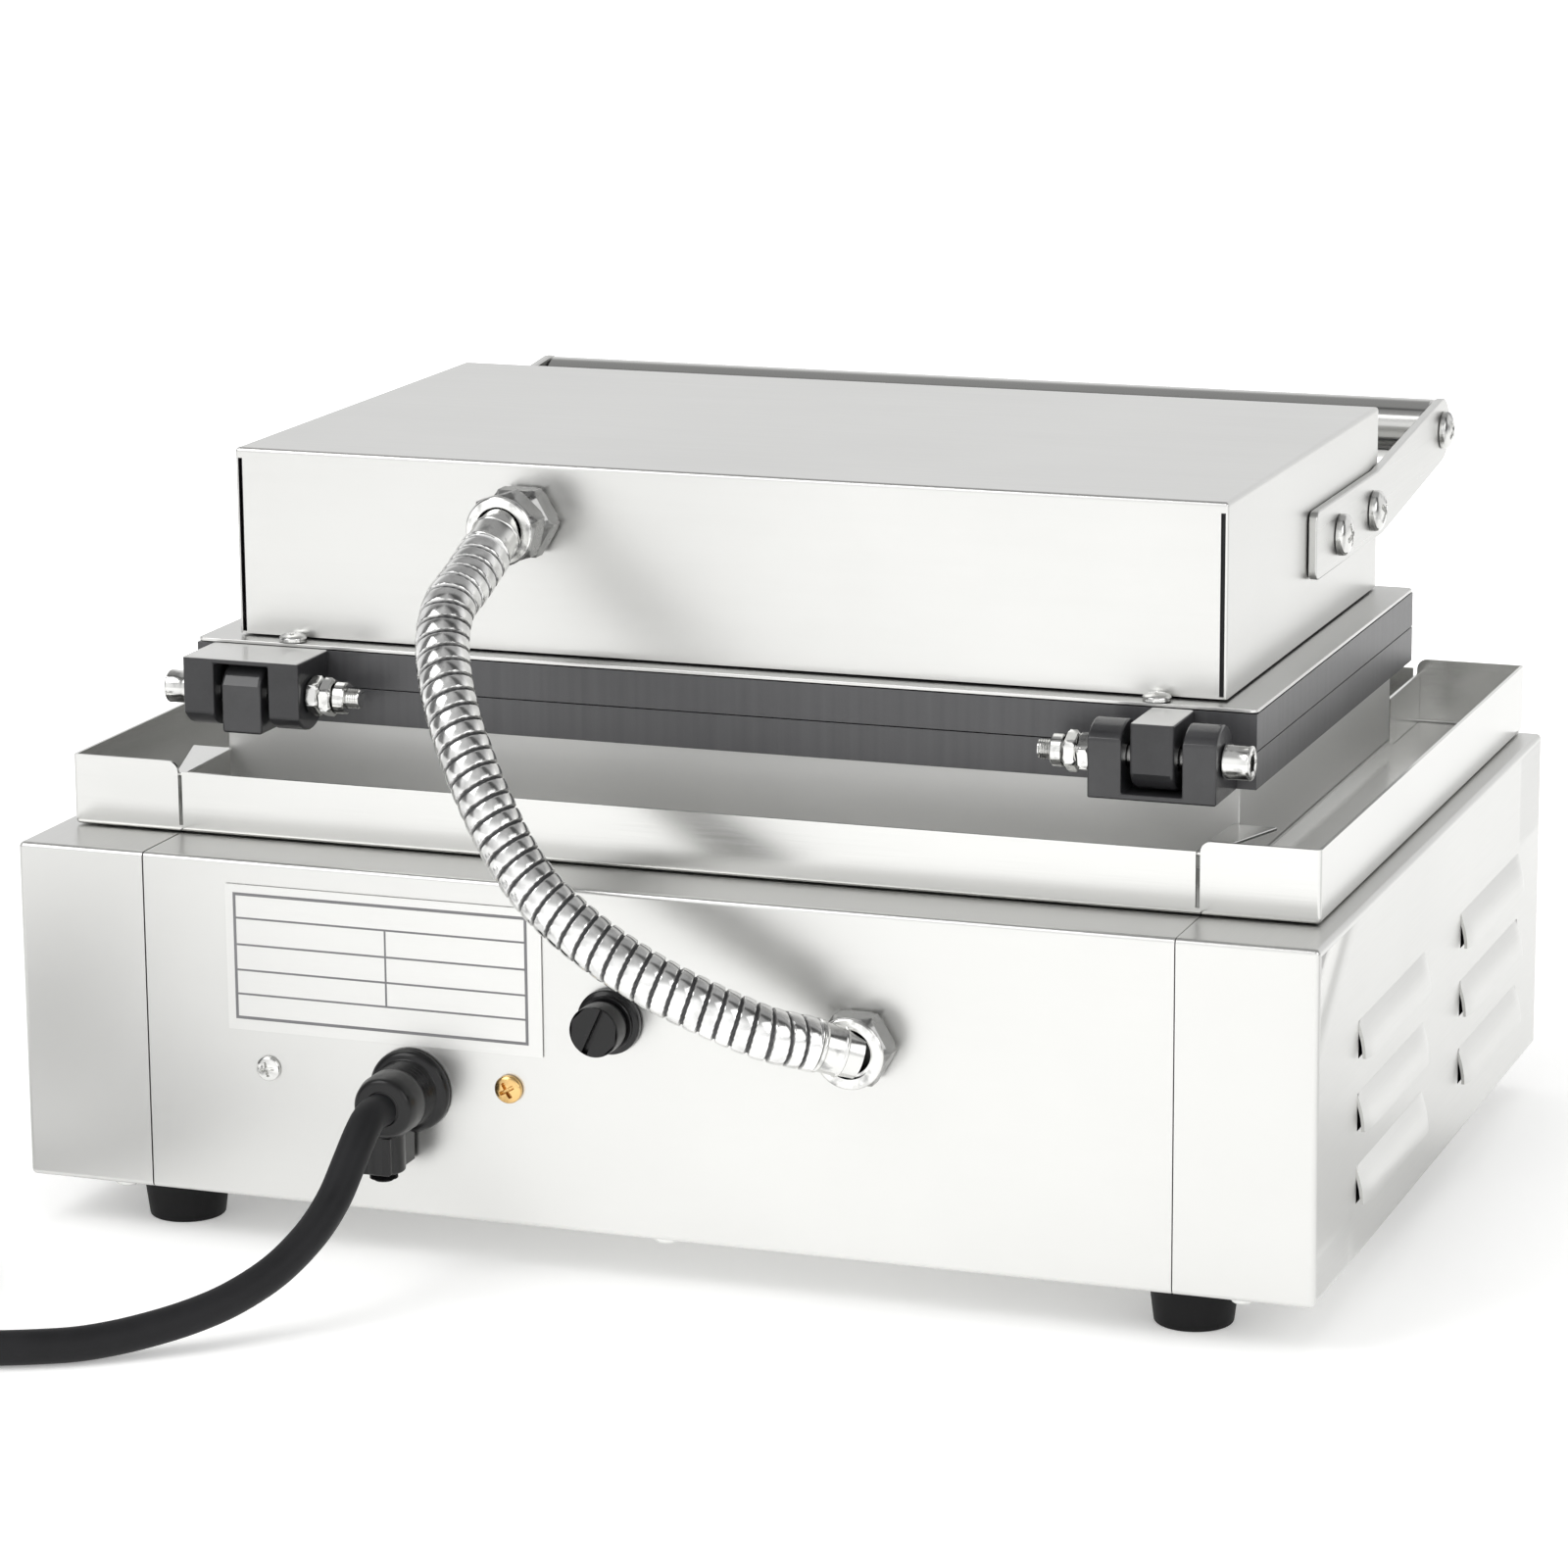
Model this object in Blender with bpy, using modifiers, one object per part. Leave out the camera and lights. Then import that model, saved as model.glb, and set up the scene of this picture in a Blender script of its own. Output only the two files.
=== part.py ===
"""Corn dog waffle maker: a sheet steel base with a drip tray, and a hinged lid over a pair of waffle plates.

Metres, +Z up. The origin is on the table under the middle of the machine, and the operator stands at -Y.
Left and right are the operator's.
"""
import math

import bmesh
import bpy
import numpy as np
from mathutils import Matrix, Vector

# Clearances and stock
GAP = 0.0003
SHEET = 0.001
OVERRUN = 0.002
ROUND_SIDES = 20
SCREW_SIDES = 12
SCREW_EDGE_SHARE = 0.35
SLEEVE_SIDES = 16
CORNER_STEPS = 3
MERGE = 0.00001
SMOOTH_ANGLE = math.radians(35)

# Base
BASE_WIDTH = 0.380
BASE_DEPTH = 0.272
BASE_HEIGHT = 0.0985
RETURN_WIDTH = 0.039
SHOULDER_DEPTH = 0.024
UNDER_FLANGE = 0.016
BASE_EDGE_RADIUS = 0.0035
FOOT_HEIGHT = 0.014
FOOT_RADIUS = 0.0125
FOOT_TIP_RADIUS = 0.011
FOOT_INSET_X = 0.039
FOOT_INSET_Y = 0.022
HALF_WIDTH = BASE_WIDTH / 2
HALF_DEPTH = BASE_DEPTH / 2
BASE_TOP = FOOT_HEIGHT + BASE_HEIGHT
SEAM_X = HALF_WIDTH - RETURN_WIDTH
DECK_REACH = HALF_DEPTH - SHOULDER_DEPTH

# Louvres in the side panels, at shares of the base's half depth and of its height
LOUVRE_LENGTH = 0.076
LOUVRE_HEIGHT = 0.0105
LOUVRE_DEPTH = 0.0032
LOUVRE_END_SLOPE = 0.006
LOUVRE_REAR_SHARE = 0.397
LOUVRE_FRONT_SHARE = -0.4963
LOUVRE_MIDDLE_SHARE = 0.4264
LOUVRE_ROW_PITCH = 0.0205

# Drip tray
TRAY_INSET = 0.006
TRAY_HEIGHT = 0.0205
TRAY_CORNER = 0.0338
TRAY_SLIT = 0.0012
TRAY_MIDDLE_DROP = 0.0029
TRAY_UPSTAND = 0.003
TRAY_LEDGE_WIDTH = 0.012
TRAY_LEDGE_TIP = 0.004
TRAY_LEDGE_DROP = 0.0033
TRAY_WIDTH = BASE_WIDTH - 2 * TRAY_INSET
TRAY_BOTTOM = BASE_TOP + GAP
TRAY_FLOOR = TRAY_BOTTOM + SHEET
TRAY_TOP = TRAY_BOTTOM + TRAY_HEIGHT
TRAY_REAR = DECK_REACH
TRAY_FRONT = -HALF_DEPTH
SLIT_X = TRAY_WIDTH / 2 - TRAY_CORNER

# Heater housing, set in from the base, and the waffle plates that overhang it
HOUSING_INSET = 0.038
HOUSING_FRONT_INSET = 0.041
HOUSING_REAR_INSET = 0.036
PLATE_LIFT = 0.039
PLATE_OVERHANG = 0.006
PLATE_FRONT_OVERHANG = 0.002
RIM_THICKNESS = 0.0103
BODY_INSET = 0.018
BODY_FRONT_INSET = 0.015
BODY_REAR_INSET = 0.017
BODY_THICKNESS = 0.0205
CAVITY_COUNT = 6
CAVITY_MARGIN = 0.005
CAVITY_WALL = 0.011
CAVITY_FRONT_WALL = 0.009
CAVITY_REAR_WALL = 0.010
CAVITY_DEPTH = 0.0135
CAVITY_CORNER = 0.012
STICK_WIDTH = 0.007
STICK_DEPTH = 0.0035
WAFFLE_ROWS = 6
WAFFLE_COLUMNS = 2
WAFFLE_MARGIN = 0.0005
WAFFLE_END_MARGIN = 0.007
WAFFLE_ROOT = 0.0065
WAFFLE_TIP = 0.0045
WAFFLE_HEIGHT = 0.0035
HOUSING_WIDTH = BASE_WIDTH - 2 * HOUSING_INSET
HOUSING_FRONT = HOUSING_FRONT_INSET - HALF_DEPTH
HOUSING_REAR = DECK_REACH - HOUSING_REAR_INSET
PLATE_WIDTH = HOUSING_WIDTH + 2 * PLATE_OVERHANG
PLATE_FRONT = HOUSING_FRONT - PLATE_FRONT_OVERHANG
PLATE_REAR = HOUSING_REAR + PLATE_OVERHANG
PARTING_Z = BASE_TOP + PLATE_LIFT
PLATE_SEAM = GAP / 2
HOUSING_TOP = PARTING_Z - PLATE_SEAM - RIM_THICKNESS - GAP
UPPER_RIM_TOP = PARTING_Z + PLATE_SEAM + RIM_THICKNESS
BODY_WIDTH = PLATE_WIDTH - 2 * BODY_INSET
BODY_FRONT = PLATE_FRONT + BODY_FRONT_INSET
BODY_REAR = PLATE_REAR - BODY_REAR_INSET
CAVITY_FRONT = BODY_FRONT + CAVITY_FRONT_WALL
CAVITY_REAR = BODY_REAR - CAVITY_REAR_WALL
CAVITY_MIDDLE_Y = (CAVITY_FRONT + CAVITY_REAR) / 2
CAVITY_PITCH = (BODY_WIDTH - 2 * CAVITY_MARGIN) / CAVITY_COUNT
CAVITY_WIDTH = CAVITY_PITCH - CAVITY_WALL
WAFFLE_PITCH = (CAVITY_WIDTH - 2 * WAFFLE_MARGIN) / WAFFLE_COLUMNS
WAFFLE_ROW_PITCH = (CAVITY_REAR - CAVITY_FRONT - 2 * WAFFLE_END_MARGIN) / WAFFLE_ROWS

# Heaters and their shields, within the plates' bodies
HEATER_RADIUS = 0.004
HEATER_MARGIN = 0.028
HEATER_RUNS = 4
HEATER_END_MARGIN = 0.0195
SHIELD_MARGIN = 0.006
SHIELD_FRONT_MARGIN = 0.004
SHIELD_REAR_MARGIN = 0.005
SHIELD_HEIGHT = 0.0105
HEATER_RUN = BODY_WIDTH - 2 * HEATER_MARGIN
HEATER_PITCH = (BODY_REAR - BODY_FRONT - 2 * HEATER_END_MARGIN) / (HEATER_RUNS - 1)
SHIELD_WIDTH = BODY_WIDTH - 2 * SHIELD_MARGIN

# Lid: its flange lies on the upper plate's rim, and its cover stands on the flange
LID_INSET = 0.0105
LID_FRONT_INSET = 0.004
LID_REAR_INSET = 0.007
LID_LIFT = 0.00065
LID_HEIGHT = 0.0543
LID_SLOT = 0.0012
FLANGE_HOLE_GAP = 0.003
FLANGE_SCREW_INSET = 0.029
FLANGE_SCREW_REAR_INSET = 0.003
FLANGE_SCREW_RADIUS = 0.004
FLANGE_SCREW_HEIGHT = 0.0022
FLANGE_SHANK_RADIUS = 0.0015
FLANGE_BOTTOM = UPPER_RIM_TOP + GAP
FLANGE_TOP = FLANGE_BOTTOM + SHEET
FLANGE_SCREW_X = PLATE_WIDTH / 2 - FLANGE_SCREW_INSET
FLANGE_SCREW_Y = PLATE_REAR - FLANGE_SCREW_REAR_INSET
LID_HALF = PLATE_WIDTH / 2 - LID_INSET
LID_FRONT = PLATE_FRONT + LID_FRONT_INSET
LID_REAR = PLATE_REAR - LID_REAR_INSET
LID_BOTTOM = FLANGE_TOP + LID_LIFT
LID_TOP = LID_BOTTOM + LID_HEIGHT

# Handle: its screws stand at a share of the lid's height, and the rest is measured from them
ARM_SCREW_SHARE = 0.477
ARM_THICKNESS = 0.0025
ARM_LAP = 0.083
ARM_KINK_TOP_LAP = 0.011
ARM_KINK_LOW_LAP = 0.004
ARM_ABOVE = 0.011
ARM_BELOW = 0.009
ARM_CORNER = 0.003
GRIP_REACH = 0.0722
GRIP_RISE = 0.010
ARM_END_RADIUS = 0.0098
GRIP_RADIUS = 0.0094
ARM_SCREW_LAPS = (0.0564, 0.0165)
ARM_SCREW_RADIUS = 0.00625
ARM_SCREW_HEIGHT = 0.0038
ARM_SHANK_RADIUS = 0.0025
ARM_SHANK_LENGTH = 0.007
GRIP_SCREW_RADIUS = 0.006
GRIP_SCREW_HEIGHT = 0.0034
GRIP_SHANK_LENGTH = 0.014
ARM_SCREW_Z = LID_BOTTOM + ARM_SCREW_SHARE * LID_HEIGHT
ARM_SCREW_YS = [LID_FRONT + lap for lap in ARM_SCREW_LAPS]
ARM_TOP_Z = ARM_SCREW_Z + ARM_ABOVE
ARM_LOW_Z = ARM_SCREW_Z - ARM_BELOW
GRIP_Y = LID_FRONT - GRIP_REACH
GRIP_Z = ARM_SCREW_Z + GRIP_RISE
ARM_REAR_Y = LID_FRONT + ARM_LAP
ARM_KINK_TOP_Y = LID_FRONT + ARM_KINK_TOP_LAP
ARM_KINK_LOW_Y = LID_FRONT + ARM_KINK_LOW_LAP

# Hinges
HINGE_INSET = 0.0235
HINGE_OFFSET = 0.013
HINGE_WIDTH = 0.036
HINGE_EAR = 0.0095
HINGE_TONGUE = 0.0123
HINGE_BACK = 0.0082
HINGE_REACH = 0.0108
KNUCKLE_RADIUS = 0.0088
EAR_RADIUS = 0.0099
PIN_RADIUS = 0.003
BOLT_HEAD_RADIUS = 0.0048
BOLT_HEAD_LENGTH = 0.0077
BOLT_SOCKET_RADIUS = 0.0026
BOLT_SOCKET_DEPTH = 0.004
BOLT_TAIL = 0.016
NUT_RADIUS = 0.0058
NUT_LENGTH = 0.0039
NUT_COLLAR_RADIUS = 0.0046
NUT_COLLAR_LENGTH = 0.0038
NUT_TURN = math.radians(17)
HINGE_X = PLATE_WIDTH / 2 - HINGE_INSET
HINGE_Y = PLATE_REAR + HINGE_OFFSET

# Conduit and its fittings
CONDUIT_RADIUS = 0.0075
CONDUIT_ROOT_SHARE = 0.9
CONDUIT_BORE_RADIUS = 0.0052
RIB_PITCH = 0.004
SLEEVE_RADIUS = 0.0073
FITTING_HEX_RADIUS = 0.0110
FITTING_HEX_LENGTH = 0.0098
FITTING_RING_RADIUS = 0.0100
FITTING_RING_LENGTH = 0.0015
FITTING_STUB_RADIUS = 0.0062
FITTING_STUB_LENGTH = 0.008
UPPER_FITTING_X = 0.057
UPPER_FITTING_SHARE = 0.709
LOWER_FITTING_X = -0.0635
LOWER_FITTING_Z = 0.076
UPPER_SLEEVE_X = 0.0005
UPPER_SLEEVE_Y = 0.0095
UPPER_SLEEVE_Z = -0.0047
LOWER_SLEEVE_X = 0.0078
LOWER_SLEEVE_Y = 0.0055
LOWER_SLEEVE_Z = 0.0030
UPPER_FITTING_Z = LID_BOTTOM + UPPER_FITTING_SHARE * LID_HEIGHT

# The conduit's route between its fittings
CONDUIT_ROUTE = [
    (0.0590, 0.1275, 0.1868), (0.0570, 0.1368, 0.1777), (0.0515, 0.1460, 0.1666), (0.0440, 0.1535, 0.1537),
    (0.0360, 0.1590, 0.1415), (0.0272, 0.1632, 0.1290), (0.0170, 0.1662, 0.1180), (0.0035, 0.1674, 0.1078),
    (-0.0110, 0.1672, 0.0993), (-0.0240, 0.1655, 0.0927)]

# Rear panel fittings
LABEL_INSET = 0.026
LABEL_WIDTH = 0.0955
LABEL_DROP = 0.0068
LABEL_HEIGHT = 0.0421
LABEL_THICKNESS = 0.0004
GLAND_X = 0.0696
GLAND_Z = 0.0506
GLAND_FLANGE_RADIUS = 0.0120
GLAND_FLANGE_LENGTH = 0.003
GLAND_NECK_RADIUS = 0.0092
GLAND_MOUTH_RADIUS = 0.0078
GLAND_LENGTH = 0.0207
GLAND_STEM_RADIUS = 0.0080
GLAND_STEM_LENGTH = 0.011
CLAMP_SHIFT = 0.0034
CLAMP_WIDTH = 0.0125
CLAMP_DEPTH = 0.0115
CLAMP_DROP = 0.0205
CLAMP_BACK = 0.0065
CLAMP_SCREW_RADIUS = 0.0040
CLAMP_SCREW_HEIGHT = 0.0025
CLAMP_SHANK_RADIUS = 0.0018
CLAMP_SHANK_LENGTH = 0.006
FUSE_X = 0.0093
FUSE_Z = 0.076
FUSE_FLANGE_RADIUS = 0.0092
FUSE_FLANGE_LENGTH = 0.0045
FUSE_STEM_RADIUS = 0.0075
FUSE_STEM_LENGTH = 0.022
FUSE_BORE_RADIUS = 0.0050
FUSE_BORE_DEPTH = 0.012
FUSE_CAP_RADIUS = 0.0072
FUSE_CAP_LENGTH = 0.0083
FUSE_PLUG_LENGTH = 0.009
FUSE_SLOT_WIDTH = 0.0016
FUSE_SLOT_DEPTH = 0.0018
EARTH_X = 0.0399
EARTH_Z = 0.0536
EARTH_RADIUS = 0.0040
EARTH_HEIGHT = 0.0022
EARTH_SHANK_RADIUS = 0.0020
EARTH_SHANK_LENGTH = 0.008

# Front panel controls, at shares of the base's half width and of its height
CONTROL_SHARE = 0.4873
TIMER_SHARE = -0.526
THERMOSTAT_SHARE = -0.158
HEATING_LAMP_SHARE = 0.184
POWER_LAMP_SHARE = 0.342
SWITCH_SHARE = 0.579
KNOB_RADIUS = 0.019
KNOB_TIP_RADIUS = 0.0165
KNOB_LENGTH = 0.018
KNOB_STANDOFF = 0.0008
KNOB_BORE_DEPTH = 0.012
KNOB_RIDGE_WIDTH = 0.007
KNOB_RIDGE_HEIGHT = 0.003
SHAFT_RADIUS = 0.003
SHAFT_REACH = 0.0115
CONTROL_BODY_SIZE = 0.036
CONTROL_BODY_DEPTH = 0.022
LAMP_RADIUS = 0.0065
LAMP_HEIGHT = 0.005
LAMP_STEM_RADIUS = 0.0045
LAMP_STEM_LENGTH = 0.016
SWITCH_WIDTH = 0.030
SWITCH_HEIGHT = 0.022
SWITCH_FLANGE = 0.002
SWITCH_BODY_DEPTH = 0.020
SWITCH_WALL = 0.003
ROCKER_PIVOT_DEPTH = 0.004
ROCKER_FRONT = 0.0085
ROCKER_DISH = 0.0015
ROCKER_HALF_HEIGHT = 0.0058
ROCKER_TILT = math.radians(10)
BEZEL_MOUTH_HALF = 0.0078
CONTROL_Z = FOOT_HEIGHT + CONTROL_SHARE * BASE_HEIGHT
TIMER_X = TIMER_SHARE * HALF_WIDTH
THERMOSTAT_X = THERMOSTAT_SHARE * HALF_WIDTH
HEATING_LAMP_X = HEATING_LAMP_SHARE * HALF_WIDTH
POWER_LAMP_X = POWER_LAMP_SHARE * HALF_WIDTH
SWITCH_X = SWITCH_SHARE * HALF_WIDTH

# Terminal block
TERMINAL_WIDTH = 0.044
TERMINAL_DEPTH = 0.020
TERMINAL_HEIGHT = 0.016
TERMINAL_X = 0.060
TERMINAL_INSET = 0.051
TERMINAL_SLOT = 0.006
TERMINAL_SLOT_DEPTH = 0.008
TERMINAL_WAYS = 4
TERMINAL_Y = HALF_DEPTH - TERMINAL_INSET

# Cord
CORD_RADIUS = 0.00475
CORD_STRAIGHT = 0.007
CORD_ROUTE = [
    (0.0699, 0.1705, 0.0470), (0.0707, 0.1770, 0.0405), (0.0716, 0.1840, 0.0336),
    (0.0735, 0.1910, 0.0276), (0.0762, 0.1975, 0.0228), (0.0798, 0.2042, 0.0184), (0.0845, 0.2102, 0.0147),
    (0.0905, 0.2165, 0.0113), (0.0975, 0.2235, 0.0088), (0.1050, 0.2302, 0.0070), (0.1128, 0.2366, 0.0057),
    (0.1210, 0.2426, 0.0050), (0.1300, 0.2476, 0.0049), (0.1392, 0.2518, 0.0049), (0.1550, 0.2582, 0.0049),
    (0.1700, 0.2654, 0.0049), (0.1850, 0.2722, 0.0049)]
COIL_X = 0.2380
COIL_Y = 0.2260
COIL_LIFT = 0.0049
COIL_RADIUS = 0.0630
COIL_PITCH = 0.0101
COIL_LAYER_RISE = 0.0102
COIL_TURNS_A_LAYER = 2.25
COIL_START = math.radians(111)
LOOP_POINTS = 24
TAIL_LENGTH = 0.036
PLUG_RADIUS = 0.0185
PLUG_GRIP_RADIUS = 0.0125
PLUG_NECK_RADIUS = 0.0075
PLUG_FACE_LENGTH = 0.010
PLUG_GRIP_LENGTH = 0.026
PLUG_NECK_LENGTH = 0.014
PLUG_PIN_RADIUS = 0.0024
PLUG_PIN_LENGTH = 0.019
PLUG_PIN_SPACING = 0.019

Y_AXIS = Vector((0, 1, 0))
X_AXIS = Vector((1, 0, 0))
Z_AXIS = Vector((0, 0, 1))

for old in list(bpy.data.objects):
    bpy.data.objects.remove(old, do_unlink=True)

parts = bpy.data.collections.new("corn_dog_waffle_maker")
tools = bpy.data.collections.new("cutters")
bpy.context.scene.collection.children.link(parts)
bpy.context.scene.collection.children.link(tools)


def finish(name, colour, roughness, metallic):
    material = bpy.data.materials.new(name)
    material.use_nodes = True
    shader = material.node_tree.nodes["Principled BSDF"]
    shader.inputs["Base Color"].default_value = (*colour, 1)
    shader.inputs["Roughness"].default_value = roughness
    shader.inputs["Metallic"].default_value = metallic
    return material


STAINLESS = finish("stainless_sheet", (0.72, 0.72, 0.71), 0.3, 1)
BRIGHT_STEEL = finish("bright_steel", (0.80, 0.80, 0.79), 0.2, 1)
IRON = finish("black_casting", (0.035, 0.035, 0.037), 0.6, 0.3)
COATED = finish("coated_plate", (0.05, 0.05, 0.052), 0.45, 0.6)
PLASTIC = finish("black_plastic", (0.02, 0.02, 0.022), 0.4, 0)
RUBBER = finish("black_rubber", (0.03, 0.03, 0.03), 0.75, 0)
BRASS = finish("brass", (0.78, 0.56, 0.25), 0.3, 1)
LABEL = finish("label_foil", (0.85, 0.85, 0.84), 0.5, 0)
RED_LENS = finish("red_lens", (0.6, 0.03, 0.02), 0.2, 0)
GREEN_LENS = finish("green_lens", (0.04, 0.45, 0.08), 0.2, 0)
CERAMIC = finish("white_ceramic", (0.8, 0.79, 0.75), 0.5, 0)


def add(name, mesh, material):
    """Puts a mesh in the scene as a part, or as a cutter where it has no material."""
    low = Vector(np.min([corner.co for corner in mesh.vertices], axis=0))
    high = Vector(np.max([corner.co for corner in mesh.vertices], axis=0))
    middle = (low + high) / 2
    mesh.transform(Matrix.Translation(-middle))
    piece = bpy.data.objects.new(name, mesh)
    piece.location = middle
    if material:
        mesh.materials.append(material)
        parts.objects.link(piece)
    else:
        tools.objects.link(piece)
        piece.hide_render = True
        piece.display_type = "WIRE"
    return piece


def from_bmesh(name, shape, material):
    mesh = bpy.data.meshes.new(name)
    shape.to_mesh(mesh)
    shape.free()
    return add(name, mesh, material)


def blocks(name, corners, material=None):
    """One mesh of boxes, each given by its lowest and highest corner."""
    shape = bmesh.new()
    for low, high in corners:
        low, high = Vector(low), Vector(high)
        placing = Matrix.Translation((low + high) / 2) @ Matrix.Diagonal((*(high - low), 1))
        bmesh.ops.create_cube(shape, size=1, matrix=placing)
    return from_bmesh(name, shape, material)


def box(name, low, high, material=None):
    return blocks(name, [(low, high)], material)


def across(side, low, high):
    """The box's corners, mirrored to the side's own half of the machine."""
    near, far = sorted((side * low[0], side * high[0]))
    return (near, low[1], low[2]), (far, high[1], high[2])


def rods(name, runs, material=None, sides=ROUND_SIDES, turn=0.0):
    """One mesh of cylinders or cones, each given by its radius, its ends and, if tapered, its end radius."""
    shape = bmesh.new()
    for radius, start, end, *tip in runs:
        start, end = Vector(start), Vector(end)
        facing = (end - start).to_track_quat("Z", "Y").to_matrix().to_4x4()
        placing = Matrix.Translation((start + end) / 2) @ facing @ Matrix.Rotation(turn, 4, "Z")
        bmesh.ops.create_cone(shape, cap_ends=True, segments=sides, radius1=radius,
                              radius2=tip[0] if tip else radius, depth=(end - start).length, matrix=placing)
    piece = from_bmesh(name, shape, material)
    shade(piece)
    return piece


def rod(name, radius, start, end, material=None, sides=ROUND_SIDES, turn=0.0):
    return rods(name, [(radius, start, end)], material, sides, turn)


def shade(piece):
    piece.data.shade_smooth()
    piece.data.set_sharp_from_angle(angle=SMOOTH_ANGLE)


def turned(name, profile, base, direction, material, steps=ROUND_SIDES):
    """Turns (radius, height) pairs, from the tip down, round the axis that leaves base in direction."""
    mesh = bpy.data.meshes.new(name)
    mesh.from_pydata([(radius, 0, height) for radius, height in profile],
                     [(at, at + 1) for at in range(len(profile) - 1)], [])
    piece = bpy.data.objects.new(name, mesh)
    mesh.materials.append(material)
    parts.objects.link(piece)
    piece.location = base
    piece.rotation_euler = Vector(direction).to_track_quat("Z", "Y").to_euler()
    screw = piece.modifiers.new("turn", "SCREW")
    screw.steps = steps
    screw.render_steps = steps
    screw.use_merge_vertices = True
    screw.merge_threshold = MERGE
    screw.use_smooth_shade = True
    return piece


def arc(middle, radius, first, last, steps=CORNER_STEPS):
    """Points on an arc, from the first angle to the last."""
    return [(middle[0] + radius * math.cos(angle), middle[1] + radius * math.sin(angle))
            for angle in np.linspace(first, last, steps + 1)]


def rounded(corners, steps=CORNER_STEPS):
    """Turns (u, v, radius) corners into an outline with an arc at each corner that has a radius."""
    outline = []
    for at, (u, v, radius) in enumerate(corners):
        here = Vector((u, v))
        if not radius:
            outline.append((u, v))
            continue
        before = (Vector(corners[at - 1][:2]) - here).normalized()
        after = (Vector(corners[(at + 1) % len(corners)][:2]) - here).normalized()
        half = before.angle(after) / 2
        middle = here + (before + after).normalized() * radius / math.sin(half)
        start = here + before * radius / math.tan(half) - middle
        end = here + after * radius / math.tan(half) - middle
        sweep = start.angle_signed(end)
        first = math.atan2(start.y, start.x)
        outline += arc(middle, radius, first, first - sweep, steps)
    return outline


def slab(name, outline, axis, low, high, material=None):
    """Extrudes an outline along an axis, of (y, z) pairs for X, (x, z) pairs for Y and (x, y) pairs for Z."""
    turns = {"X": Matrix(((0, 0, 1), (1, 0, 0), (0, 1, 0))), "Y": Matrix(((1, 0, 0), (0, 0, -1), (0, 1, 0))),
             "Z": Matrix.Identity(3)}
    along = {"X": X_AXIS, "Y": Y_AXIS, "Z": Z_AXIS}[axis]
    curve = bpy.data.curves.new(name, "CURVE")
    curve.dimensions = "2D"
    curve.fill_mode = "BOTH"
    curve.extrude = (high - low) / 2
    line = curve.splines.new("POLY")
    line.points.add(len(outline) - 1)
    for point, (u, v) in zip(line.points, outline):
        point.co = (u, v, 0, 1)
    line.use_cyclic_u = True
    placing = Matrix.Translation(along * (low + high) / 2) @ turns[axis].to_4x4()
    return solid(name, curve, placing, material)


def solid(name, curve, placing, material):
    """Makes a curve a closed mesh: its caps are welded and it takes its place."""
    guide = bpy.data.objects.new(name, curve)
    bpy.context.scene.collection.objects.link(guide)
    guide.matrix_world = placing
    bpy.context.view_layer.update()
    mesh = bpy.data.meshes.new_from_object(guide.evaluated_get(bpy.context.evaluated_depsgraph_get()))
    mesh.transform(guide.matrix_world)
    bpy.data.objects.remove(guide)
    shape = bmesh.new()
    shape.from_mesh(mesh)
    bmesh.ops.remove_doubles(shape, verts=shape.verts, dist=MERGE)
    bmesh.ops.recalc_face_normals(shape, faces=shape.faces)
    mesh.materials.clear()
    shape.to_mesh(mesh)
    shape.free()
    return add(name, mesh, material)


def tube(name, points, radius, material=None, resolution=2, radii=None):
    """A round bar along points, with a share of the radius at each point where radii are given."""
    curve = bpy.data.curves.new(name, "CURVE")
    curve.dimensions = "3D"
    curve.bevel_depth = radius
    curve.bevel_resolution = resolution
    curve.use_fill_caps = True
    line = curve.splines.new("POLY")
    line.points.add(len(points) - 1)
    for point, place, share in zip(line.points, points, radii or [1] * len(points)):
        point.co = (*place, 1)
        point.radius = share
    piece = solid(name, curve, Matrix.Identity(4), material)
    shade(piece)
    return piece


def boolean(piece, tool, operation, overlapping=False):
    step = piece.modifiers.new(tool.name, "BOOLEAN")
    step.operation = operation
    step.object = tool
    step.solver = "EXACT"
    step.use_self = overlapping


def cut(piece, tool, overlapping=False):
    boolean(piece, tool, "DIFFERENCE", overlapping)


def join(piece, tool, overlapping=False):
    boolean(piece, tool, "UNION", overlapping)


def pivot(name, place, pieces):
    """An empty on a joint's axis that carries the pieces that turn about it."""
    empty = bpy.data.objects.new(name, None)
    parts.objects.link(empty)
    empty.location = place
    for piece in pieces:
        piece.parent = empty
        piece.matrix_parent_inverse = Matrix.Translation(-Vector(place))


def round_edge(piece, x, z, radius):
    """Rounds the edge of a box that runs along Y at x and z."""
    shape = bmesh.new()
    shape.from_mesh(piece.data)
    at = Vector((x, 0, z)) - Vector((piece.location.x, 0, piece.location.z))
    edges = [edge for edge in shape.edges
             if all((Vector((v.co.x, 0, v.co.z)) - at).length < MERGE for v in edge.verts)]
    bmesh.ops.bevel(shape, geom=edges, offset=radius, segments=CORNER_STEPS, profile=0.5, affect="EDGES")
    shape.to_mesh(piece.data)
    shape.free()


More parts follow.
